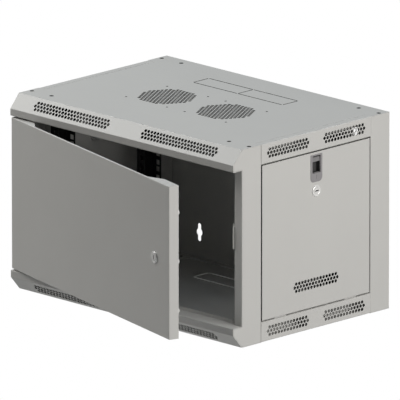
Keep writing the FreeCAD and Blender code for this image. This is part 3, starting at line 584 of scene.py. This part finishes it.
MATERIALS = {
    "body_paint": coated("body_paint", (0.60, 0.597, 0.582), 0.42, 0.10, 0.0007),
    # Painted shade: near-black paint on the walls of punched holes and on the outer band of the side panels'
    # rim, standing in for the shade inside holes and gaps.
    "painted_shade_dark": coated("painted_shade_dark", (0.03, 0.03, 0.03), 0.6, 0.1, 0.0002),
    "rack_black": coated("rack_black", (0.012, 0.012, 0.013), 0.42, 0.15, 0.0004),
    "black_screw": coated("black_screw", (0.012, 0.012, 0.012), 0.35, 0.05, 0.0003),
    "zinc": metal("zinc", (0.82, 0.82, 0.80), 0.34, 0.1, 0.0003, 0.5),
    "lock_chrome": metal("lock_chrome", (0.93, 0.93, 0.92), 0.2, 0.04, 0.0003, 0.2),
    "spring_steel": metal("spring_steel", (0.5, 0.5, 0.49), 0.3, 0.1, 0.0002),
    "latch_grey": moulded("latch_grey", (0.31, 0.30, 0.31), 0.45, 0.0004),
    "latch_slider_grey": moulded("latch_slider_grey", (0.25, 0.245, 0.25), 0.5, 0.0003),
    # Near-black painted shade for the inside of the latch slider's cup.
    "latch_cup_painted_shade": moulded("latch_cup_painted_shade", (0.055, 0.054, 0.055), 0.5, 0.0003),
    "bumper_white": moulded("bumper_white", (0.93, 0.93, 0.91), 0.45, 0.0004),
}


def paint_nodes():
    """Gives every CAD node the material of its slot, and the depth brackets the body paint."""
    slots = {part["node"]: part["material_slot"] for part in frame["record"]["subparts"]}
    for name, node in frame["nodes"].items():
        finish = "body_paint" if name.endswith("depth_bracket") else slots[name]
        node.data.materials.clear()
        node.data.materials.append(MATERIALS[finish])


# --- top and bottom panels with their front bars --------------------------------------------------
def lid(name, flip, fans):
    """A folded, perforated panel; flip is -1 for the bottom one."""
    opening = TOP - CHAMFER_HEIGHT - LIP_HEIGHT
    corners = [
        Vector((0, TOP)),
        Vector((FRONT + CHAMFER_DEPTH, TOP)),
        Vector((FRONT, TOP - CHAMFER_HEIGHT)),
        Vector((FRONT, opening)),
        Vector((FRONT + RETURN_DEPTH, opening)),
        Vector((FRONT + RETURN_DEPTH, opening - STOP_HEIGHT)),
    ]
    section = Section(corners)

    def to_row(u, point):
        return Vector((u, point.x, flip * point.y))

    notch = HALF_W - RAIL_FLANGE
    rear_v = section.at(0, -RAIL_HIGH.y)
    front_v = section.at(0, -RAIL_LOW.y)
    return_v = section.at(3, POST_SETBACK - SEAM)
    stop_v = section.at(4, SEAM)
    post_x = HALF_W - POST_FACE - SEAM
    side = [
        (HALF_W, 0.0),
        (HALF_W, rear_v),
        (notch, rear_v),
        (notch, front_v),
        (HALF_W, front_v),
        (HALF_W, return_v),
        (post_x, return_v),
        (post_x, stop_v),
        (STOP_HALF_WIDTH, stop_v),
        (STOP_HALF_WIDTH, section.length),
    ]
    outline = side + [(-x, v) for x, v in reversed(side)]
    slope = math.hypot(CHAMFER_DEPTH, CHAMFER_HEIGHT)
    holes = []
    for x in (-BAR_VENT_X, BAR_VENT_X):
        holes += vent(x, section.at(1, slope / 2), BAR_VENT_COUNT)
    for x, y in SCREW_PLACES:
        for sign in (-1, 1):
            holes.append(ring(sign * x, section.at(0, -y), SCREW_R, SCREW_HOLE_STEPS))
    hinge_v = section.at(3, HINGE.y - FRONT)
    holes.append(ring(HINGE.x, hinge_v, HINGE_HOLE_R, HINGE_HOLE_STEPS))
    if fans:
        for x in (-FAN_X, FAN_X):
            holes += grille(x, section.at(0, -FAN_Y))
            for i in (-FAN_SCREW_HALF, FAN_SCREW_HALF):
                for j in (-FAN_SCREW_HALF, FAN_SCREW_HALF):
                    holes.append(ring(x + i, section.at(0, -FAN_Y + j), FAN_SCREW_R, FAN_SCREW_STEPS))
    slots = []
    for x0, x1, y0, y1 in knockout_slots():
        slots.append(box_ring(x0, x1, section.at(0, -y1), section.at(0, -y0)))
    bm = bmesh.new()
    if fans:
        developed(bm, outline, holes + slots, section, to_row)
    else:
        developed(bm, outline, holes, section, to_row, slots)
    finished(name + "_sheet", bm, "body_paint", "cabinet", [name])


def knockout_slots():
    """Slots around the two cable entries, with bridges at their corners."""
    half = KNOCKOUT_SLOT / 2
    gap = KNOCKOUT_BRIDGE / 2
    slots = []
    for y in (KNOCKOUT_FRONT, KNOCKOUT_REAR):
        for x in (-KNOCKOUT_WIDTH, 0):
            slots.append((x + gap, x + KNOCKOUT_WIDTH - gap, y - half, y + half))
    for x in (-KNOCKOUT_WIDTH, 0, KNOCKOUT_WIDTH):
        slots.append((x - half, x + half, KNOCKOUT_FRONT + gap, KNOCKOUT_REAR - gap))
    return slots


# --- side rails -----------------------------------------------------------------------------------
def side_rail(side, end):
    """One vented rail; side is 1 for the right and end is 1 for the top."""
    catch_x = HALF_W - CATCH_DEPTH
    ledge_z = TOP - RAIL_HEIGHT
    corners = [
        Vector((catch_x, RAIL_LOW.z)),
        Vector((catch_x, ledge_z)),
        Vector((HALF_W, ledge_z)),
        Vector((HALF_W, TOP)),
        Vector((HALF_W - RAIL_FLANGE + RAIL_SEAM, TOP)),
    ]
    section = Section(corners)

    def to_row(u, point):
        return Vector((side * point.x, u, end * point.y))

    holes = []
    vent_v = section.at(2, RAIL_VENT_HEIGHT)
    for y in RAIL_VENT_Y:
        holes += vent(y, vent_v, RAIL_VENT_COUNT)
    if end < 0:
        low_v, high_v = (section.at(1, inset) for inset in TAB_SLOT)
        half = TAB_HALF + TAB_PLAY
        for y in PANEL_TAB_Y:
            holes.append(box_ring(y - half, y + half, low_v, high_v))
    outline = box_ring(RAIL_LOW.y, RAIL_HIGH.y, 0.0, section.length)
    bm = bmesh.new()
    developed(bm, outline, holes, section, to_row)
    name = hand(side) + ("_top" if end > 0 else "_bottom") + "_side_rail"
    for y0, y1 in ((RAIL_LOW.y, RAIL_LOW.y + SHEET), (RAIL_HIGH.y - SHEET, RAIL_HIGH.y)):
        tab = [Vector((HALF_W - SHEET, z)) for z in (ledge_z + SHEET, TOP - SHEET)]
        tab += [Vector((HALF_W - RAIL_TAB, z)) for z in (TOP - SHEET, ledge_z + SHEET)]
        rows = [[bm.verts.new(to_row(y, spot)) for spot in tab] for y in (y0, y1)]
        bm.faces.new(rows[0])
        bm.faces.new(reversed(rows[1]))
        for i in range(4):
            j = (i + 1) % 4
            bm.faces.new([rows[0][j], rows[0][i], rows[1][i], rows[1][j]])
    finished(name + "_sheet", bm, "body_paint", "cabinet", [name])


# --- rack rails -----------------------------------------------------------------------------------
def rack_rail(side, place):
    """Channel with square holes in both of its flanges."""
    name = hand(side) + "_" + place + "_rack_rail"
    low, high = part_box("right_" + place + "_rack_rail")
    corners = [Vector(corner) for corner in box_ring(low.x, high.x, low.y, high.y)]
    section = Section(corners, BEND, RACK_SHEET)

    def to_row(u, point):
        return Vector((side * point.x, point.y, u))

    half = RACK_HOLE / 2
    holes = []
    for unit in range(UNITS):
        for offset in UNIT_HOLES:
            z = (unit - UNITS / 2) * UNIT + offset
            for v in (section.at(0, RACK_HOLE_IN), section.at(2, high.x - low.x - RACK_HOLE_IN)):
                holes.append(box_ring(z - half, z + half, v - half, v + half))
    outline = box_ring(low.z, high.z, 0.0, section.length)
    bm = bmesh.new()
    developed(bm, outline, holes, section, to_row)
    finished(name + "_sheet", bm, "rack_black", "cabinet", [name])


# --- side panels ----------------------------------------------------------------------------------
def latch_ring(half_w, low, high, radius, middle_y):
    """Latch outline with round lower corners, as (y, z) places."""
    points = [(middle_y - half_w, high)]
    corners = ((middle_y - half_w + radius, math.pi), (middle_y + half_w - radius, -math.pi / 2))
    for centre_y, start in corners:
        for turn in quarter(start):
            points.append((centre_y + radius * math.cos(turn), low + radius + radius * math.sin(turn)))
    points.append((middle_y + half_w, high))
    return points


def side_panel(side):
    """Pressed tray: perforated face, rounded edge, an outer band of the rim painted black as the shade in
    the gap around the panel, and two hook tabs.
    """
    name = hand(side) + "_side_panel"
    y0, y1 = PANEL_LOW.y + PANEL_INSET, PANEL_HIGH.y - PANEL_INSET
    z0, z1 = PANEL_GAP + PANEL_INSET + RAIL_HEIGHT - TOP, PANEL_HIGH.z
    face = Section([Vector((HALF_W, z0)), Vector((HALF_W, z1))])

    def to_row(u, point):
        return Vector((side * point.x, u, point.y))

    lock_z = JOINTS["right_cam_turn"]["pos_m"][2]
    latch_half = (HOUSING_HIGH.y - HOUSING_LOW.y) / 2 - LATCH_BEZEL
    latch_low = HOUSING_LOW.z + LATCH_BEZEL - z0
    latch_high = LATCH_TOP - LATCH_BEZEL - z0
    holes = vent(PANEL_MIDDLE, PANEL_VENT_Z - z0, PANEL_VENT_COUNT)
    holes.append(ring(PANEL_MIDDLE, lock_z - z0, LOCK_HOLE_R, LOCK_HOLE_STEPS))
    window_r = LATCH_CORNER - LATCH_BEZEL
    holes.append(latch_ring(latch_half, latch_low, latch_high, window_r, PANEL_MIDDLE))
    outline = box_ring(y0 + EDGE_R, y1 - EDGE_R, EDGE_R, z1 - z0 - EDGE_R)
    bm = bmesh.new()
    developed(bm, outline, holes, face, to_row)
    rim = [(EDGE_R - EDGE_R * math.sin(turn), EDGE_R - EDGE_R * math.cos(turn)) for turn in quarter()]
    # The band of the flange next to the rounded edge is painted black: a painted shade for the gap around
    # the panel.
    painted_shade = (len(rim) - 2, len(rim) - 1)
    rim += [(0.0, PANEL_RIM), (0.0, PANEL_FLANGE), (SHEET, PANEL_FLANGE), (SHEET, EDGE_R), (EDGE_R, SHEET)]
    loops = []
    for inset, depth in rim:
        x = side * (HALF_W - depth)
        spots = box_ring(y0 + inset, y1 - inset, z0 + inset, z1 - inset)
        loops.append([bm.verts.new(Vector((x, y, z))) for y, z in spots])
    for k, (a, b) in enumerate(zip(loops, loops[1:])):
        for i in range(4):
            j = (i + 1) % 4
            strip = bm.faces.new([a[i], a[j], b[j], b[i]])
            strip.material_index = 1 if k in painted_shade else 0
    sill = RAIL_HEIGHT - TOP + SEAM
    tab_x = HALF_W - TAB_IN
    for y in PANEL_TAB_Y:
        low, high = y - TAB_HALF, y + TAB_HALF
        add_block(bm, side, HALF_W - PANEL_FLANGE, HALF_W - TAB_FOOT_IN, low, high, sill, z0 + SHEET / 2)
        add_block(bm, side, tab_x - SHEET, tab_x, low, high, PANEL_LOW.z, sill + SHEET)
    finished(name + "_sheet", bm, "body_paint", hand(side) + "_panel", [name])


def add_block(bm, side, x0, x1, y0, y1, z0, z1):
    """A plain strip of metal, such as a tab, between two corners."""
    low, high = (
        [bm.verts.new(Vector((side * x, y, z))) for x, y in box_ring(x0, x1, y0, y1)] for z in (z0, z1)
    )
    bm.faces.new(low)
    bm.faces.new(reversed(high))
    for i in range(4):
        j = (i + 1) % 4
        bm.faces.new([low[j], low[i], high[i], high[j]])


def latch_slider(side):
    """Finger slider: a cup under a sloping grip, its walls and bottom painted near-black as shade, and the
    stem behind it.
    """
    prefix = hand(side) + "_"
    low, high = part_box(prefix + "latch_slider")

    def spot(depth, y, z):
        return Vector((side * (HALF_W - depth), PANEL_MIDDLE + y, z))

    def rect(depth, half, z0, z1):
        return [bm.verts.new(spot(depth, y, z)) for y, z in box_ring(-half, half, z0, z1)]

    bm = bmesh.new()
    cup_half, cup_low = SLIDER_HALF - SLIDER_WALL, low.z + SLIDER_WALL
    middle = low.z + SLIDER_DROP
    back = rect(SLIDER_BACK, SLIDER_HALF, low.z, high.z)
    face = rect(SLIDER_FACE, SLIDER_HALF, low.z, high.z)
    mouth = rect(SLIDER_FACE, cup_half, cup_low, middle + SLIDER_CUP[1])
    bottom = rect(SLIDER_BACK - SLIDER_WALL, cup_half, cup_low, middle + SLIDER_CUP[0])
    # The cup's walls and bottom take the second finish, a painted shade for the recess.
    for a, b, painted_shade in ((back, face, 0), (face, mouth, 0), (mouth, bottom, 1)):
        for i in range(4):
            j = (i + 1) % 4
            bm.faces.new([a[i], a[j], b[j], b[i]]).material_index = painted_shade
    bm.faces.new(back)
    bm.faces.new(bottom).material_index = 1
    stem_end = HALF_W - min(abs(low.x), abs(high.x))
    stem_low, stem_high = middle - STEM_HALF, middle + STEM_HALF
    stem = [rect(depth, STEM_HALF, stem_low, stem_high) for depth in (SLIDER_BACK, stem_end)]
    for i in range(4):
        j = (i + 1) % 4
        bm.faces.new([stem[0][i], stem[0][j], stem[1][j], stem[1][i]])
    bm.faces.new(stem[1])
    bm.faces.new(stem[0])
    name, body = prefix + "latch_slider", prefix + "slider"
    finished(name + "_cup", bm, "latch_slider_grey", body, [name], second="latch_cup_painted_shade")


def lock_strike():
    """Bent strip on the post's inner edge that the door's cam turns behind."""
    low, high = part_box("lock_strike")
    front, nose = low.y - STRIKE_FORWARD, low.x - STRIKE_MORE
    section = Section([Vector((high.x, front)), Vector((high.x, high.y)), Vector((nose, high.y))])
    bm = bmesh.new()
    outline = box_ring(low.z, high.z, 0.0, section.length)
    developed(bm, outline, [], section, lambda u, point: Vector((point.x, point.y, u)))
    finished("lock_strike_strip", bm, "zinc", "cabinet", ["lock_strike"])


# --- fasteners ------------------------------------------------------------------------------------
def shank(bm, place, radius, length, tip_r, tip):
    """Round shank with a bevelled end."""
    profile = [(radius, 0.0), (radius, length - tip), (tip_r, length), (0.0, length)]
    lathe(bm, profile, SHANK_STEPS, place)


def screw_head(bm, place):
    """Low round head with a softened rim and a six-sided socket."""
    head = [(HEAD_R * across, SHEET * along) for across, along in HEAD_PROFILE]
    socket = [(SOCKET_R * across, SHEET * along) for across, along in SOCKET_PROFILE]
    lathe(bm, [(0.0, 0.0), *head, socket[0]], TURNED_STEPS, place)
    lathe(bm, socket, HEXAGON, place)


def panel_screws(name, end):
    bm = bmesh.new()
    outward, back = Vector((0, 0, end)), Vector((0, 1, 0))
    for x, y in SCREW_PLACES:
        for sign in (-1, 1):
            seat = Vector((sign * x, y, end * (TOP - SHEET)))
            screw_head(bm, upright(seat, outward, back))
            shank(bm, upright(seat, -outward, back), SHANK_R, SHANK, SHANK_TIP_R, SHANK_TIP)
    finished(name + "_turned", bm, "black_screw", "cabinet", [name], SMOOTH_TURNED)


def bolt_head(bm, place):
    """Flanged hexagon head."""
    flange_top = BOLT_FLANGE + BOLT_CHAMFER
    flange = [(0.0, 0.0), (BOLT_FLANGE_R, 0.0), (BOLT_FLANGE_R, BOLT_FLANGE), (BOLT_HEX_R, flange_top)]
    lathe(bm, flange, BOLT_FLANGE_STEPS, place)
    hexagon = [(BOLT_HEX_R, BOLT_HEX_START), (BOLT_HEX_R, BOLT_HEAD - BOLT_CHAMFER)]
    hexagon += [(BOLT_HEX_TOP_R, BOLT_HEAD), (0.0, BOLT_HEAD)]
    lathe(bm, hexagon, HEXAGON, place)


def rack_bolts():
    """Flanged hexagon bolts through the rail and bracket."""
    bm = bmesh.new()
    up = Vector((0, 0, 1))
    for place in ("front", "rear"):
        low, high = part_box("right_" + place + "_rack_rail")
        middle = (low.y + high.y) / 2
        for z in (-BOLT_Z, BOLT_Z):
            for side in (-1, 1):
                seat = Vector((side * (high.x - RACK_SHEET), middle, z))
                inward = Vector((-side, 0, 0))
                bolt_head(bm, upright(seat, inward, up))
                shank(bm, upright(seat, -inward, up), BOLT_SHANK_R, BOLT_SHANK, BOLT_TIP_R, BOLT_CHAMFER)
    finished("rack_bolts_turned", bm, "zinc", "cabinet", ["rack_bolts"], SMOOTH_TURNED)


# --- locks ----------------------------------------------------------------------------------------
def lock_barrel(prefix, place, body, length):
    """Barrel with its rounded face ring."""
    bm = bmesh.new()
    ring_in, low = PLUG_R + PLUG_FIT, BARREL_SHORT - length
    profile = [(ring_in, low), (BARREL_R, low), (BARREL_R, 0.0), (LOCK_R, 0.0)]
    profile += [(LOCK_R - inset, LOCK_FACE * share) for inset, share in FACE_RING]
    profile += [(PLUG_R + outset, LOCK_FACE * share) for outset, share in FACE_WELL]
    profile.append((ring_in, low))
    lathe(bm, profile, LOCK_STEPS, place)
    bmesh.ops.remove_doubles(bm, verts=bm.verts, dist=MERGE)
    finished(prefix + "_lock_barrel_turned", bm, "lock_chrome", body, [prefix + "_lock_barrel"], SMOOTH_LOCK)


def lock_plug(prefix, place, body, length, keyway_up):
    """Plug with its keyway in front and its square drive behind."""
    bm = bmesh.new()
    half_w, half_h = KEYWAY_WIDTH / 2, KEYWAY_HEIGHT / 2
    if not keyway_up:
        half_w, half_h = half_h, half_w
    slot = box_ring(-half_w, half_w, PLUG_R - half_h, PLUG_R + half_h)
    face_z = LOCK_FACE - PLUG_SUNK
    floor_z = face_z - KEYWAY_DEPTH
    plate = Section([Vector((0, -PLUG_R)), Vector((0, PLUG_R))], BEND, KEYWAY_DEPTH)
    outline = ring(0.0, PLUG_R, PLUG_R, LOCK_STEPS)
    developed(bm, outline, [slot], plate, lambda u, point: place(Vector((u, point.y, face_z + point.x))))
    core = [(0.0, floor_z), (PLUG_R, floor_z), (PLUG_R, -length), (0.0, -length)]
    lathe(bm, core, LOCK_STEPS, place)
    end = -length - DRIVE
    lathe(bm, [(0.0, -length), (DRIVE_R, -length), (DRIVE_R, end), (0.0, end)], DRIVE_SIDES, place)
    finished(prefix + "_lock_plug_turned", bm, "lock_chrome", body, [prefix + "_lock_plug"], SMOOTH_LOCK)


def locks():
    door_lock = Vector((DOOR_LOCK_X, FRONT, 0))
    on_door = ajar(upright(door_lock, Vector((0, -1, 0)), Vector((0, 0, 1))))
    lock_barrel("door", on_door, "door", DOOR_LOCK_LENGTH)
    lock_plug("door", on_door, "door_cam", DOOR_LOCK_LENGTH, True)
    for side in (1, -1):
        prefix = hand(side)
        spot = Vector(JOINTS[prefix + "_cam_turn"]["pos_m"])
        place = upright(spot, Vector((side, 0, 0)), Vector((0, 0, 1)))
        lock_barrel(prefix, place, prefix + "_panel", SIDE_LOCK_LENGTH)
        lock_plug(prefix, place, prefix + "_cam", SIDE_LOCK_LENGTH, False)


# --- door bumpers and hinge spring ----------------------------------------------------------------
def door_bumpers():
    bm = bmesh.new()
    profile = [(BUMPER_R * across, BUMPER_RISE * along) for across, along in BUMPER_PROFILE]
    for i in (-1, 0, 1):
        foot = Vector((DOOR_RIGHT - BUMPER_IN, FRONT + DOOR_DEPTH, i * BUMPER_PITCH))
        place = ajar(upright(foot, Vector((0, 1, 0)), Vector((0, 0, 1))))
        lathe(bm, profile, BUMPER_STEPS, place)
    finished("door_bumpers_turned", bm, "bumper_white", "door", ["door_bumpers"], SMOOTH_BUMPER)


def hinge_spring():
    """The coil itself, as a helix with its ends closed down. It rides on the hinge pin's body."""
    low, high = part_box("hinge_spring")
    radius = (high.x - low.x) / 2 - SPRING_WIRE_R
    z0, z1 = low.z + SPRING_WIRE_R, high.z - SPRING_WIRE_R
    curve = bpy.data.curves.new("hinge_spring_coil", "CURVE")
    curve.dimensions = "3D"
    curve.bevel_depth = SPRING_WIRE_R
    curve.bevel_resolution = 3
    spline = curve.splines.new("POLY")
    steps = int(SPRING_TURNS * SPRING_STEPS)
    spline.points.add(steps)
    for i in range(steps + 1):
        turn = math.tau * SPRING_TURNS * i / steps
        rise = min(max((i / steps - SPRING_END) / (1 - 2 * SPRING_END), 0.0), 1.0)
        x = HINGE.x + radius * math.cos(turn)
        y = HINGE.y + radius * math.sin(turn)
        spline.points[i].co = (x, y, z0 + (z1 - z0) * rise, 1)
    drawn = bpy.data.objects.new("hinge_spring_path", curve)
    mesh = bpy.data.meshes.new_from_object(drawn)
    bpy.data.objects.remove(drawn)
    mesh.materials.clear()
    mesh.materials.append(MATERIALS["spring_steel"])
    coil = bpy.data.objects.new("hinge_spring_coil", mesh)
    bpy.context.scene.collection.objects.link(coil)
    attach(coil, "hinge_pin")
    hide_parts("hinge_spring")
    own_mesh(coil)


# --- the studio -----------------------------------------------------------------------------------
def backdrop():
    """Pale floor below the cabinet, white to the camera."""
    mesh = bpy.data.meshes.new("floor")
    level = -TOP - FLOOR_DROP
    corners = [(x, y, level) for x, y in box_ring(-FLOOR_REACH, FLOOR_REACH, -FLOOR_REACH, FLOOR_REACH)]
    mesh.from_pydata(corners, [], [(0, 1, 2, 3)])
    floor = bpy.data.objects.new("floor", mesh)
    bpy.context.scene.collection.objects.link(floor)
    material = bpy.data.materials.new("floor_white")
    material.use_nodes = True
    tree = material.node_tree
    diffuse = tree.nodes["Principled BSDF"]
    diffuse.inputs["Base Color"].default_value = (FLOOR_TONE, FLOOR_TONE, FLOOR_TONE, 1)
    diffuse.inputs["Roughness"].default_value = 0.9
    glow = node_of(tree, "ShaderNodeEmission", Color=(1, 1, 1, 1), Strength=1.0)
    seen = tree.nodes.new("ShaderNodeLightPath")
    mix = tree.nodes.new("ShaderNodeMixShader")
    tree.links.new(seen.outputs["Is Camera Ray"], mix.inputs[0])
    tree.links.new(diffuse.outputs[0], mix.inputs[1])
    tree.links.new(glow.outputs[0], mix.inputs[2])
    tree.links.new(mix.outputs[0], tree.nodes["Material Output"].inputs[0])
    mesh.materials.append(material)


def world(fill):
    """White to the camera, and a soft fill for everything else."""
    scene_world = bpy.data.worlds.new("studio")
    bpy.context.scene.world = scene_world
    scene_world.use_nodes = True
    tree = scene_world.node_tree
    fill_light = tree.nodes["Background"]
    fill_light.inputs[0].default_value = (1, 1, 1, 1)
    fill_light.inputs[1].default_value = fill
    white = tree.nodes.new("ShaderNodeBackground")
    white.inputs[0].default_value = (1, 1, 1, 1)
    seen = tree.nodes.new("ShaderNodeLightPath")
    mix = tree.nodes.new("ShaderNodeMixShader")
    tree.links.new(seen.outputs["Is Camera Ray"], mix.inputs[0])
    tree.links.new(fill_light.outputs[0], mix.inputs[1])
    tree.links.new(white.outputs[0], mix.inputs[2])
    tree.links.new(mix.outputs[0], tree.nodes["World Output"].inputs[0])


def lamp(name, direction, size, power, colour):
    """A square soft light aimed at the middle of the cabinet."""
    light = bpy.data.lights.new(name, "AREA")
    light.shape = "SQUARE"
    light.size = size
    light.energy = power
    light.color = colour
    lamp_object = bpy.data.objects.new(name, light)
    bpy.context.scene.collection.objects.link(lamp_object)
    way = Vector(direction).normalized()
    lamp_object.location = CENTRE + way * LAMP_DISTANCE
    lamp_object.rotation_mode = "QUATERNION"
    lamp_object.rotation_quaternion = way.to_track_quat("Z", "Y")


def camera():
    """Long lens from the front right, a little above."""
    view = bpy.data.cameras.new("camera")
    view.lens = VIEW_LENS
    view.sensor_width = SENSOR
    view.clip_start, view.clip_end = 0.1, 100.0
    eye = bpy.data.objects.new("camera", view)
    bpy.context.scene.collection.objects.link(eye)
    turn, rise = math.radians(VIEW_TURN), math.radians(VIEW_RISE)
    back = Vector((math.sin(turn) * math.cos(rise), -math.cos(turn) * math.cos(rise), math.sin(rise)))
    distance = VIEW_WIDTH / 2 / (view.sensor_width / 2 / view.lens)
    eye.location = VIEW_TARGET + back * distance
    eye.rotation_mode = "QUATERNION"
    eye.rotation_quaternion = back.to_track_quat("Z", "Y")
    bpy.context.scene.camera = eye


paint_nodes()
lid("top_panel", 1, True)
lid("bottom_panel", -1, False)
for side in (1, -1):
    for end in (1, -1):
        side_rail(side, end)
    for place in ("front", "rear"):
        rack_rail(side, place)
    side_panel(side)
    latch_slider(side)
lock_strike()
panel_screws("top_screws", 1)
panel_screws("bottom_screws", -1)
rack_bolts()
locks()
door_bumpers()
hinge_spring()
backdrop()
world(FILL)
for name, (direction, size, power, colour) in LAMPS.items():
    lamp(name, direction, size, power, colour)
camera()
bpy.context.scene.view_settings.view_transform = "Standard"
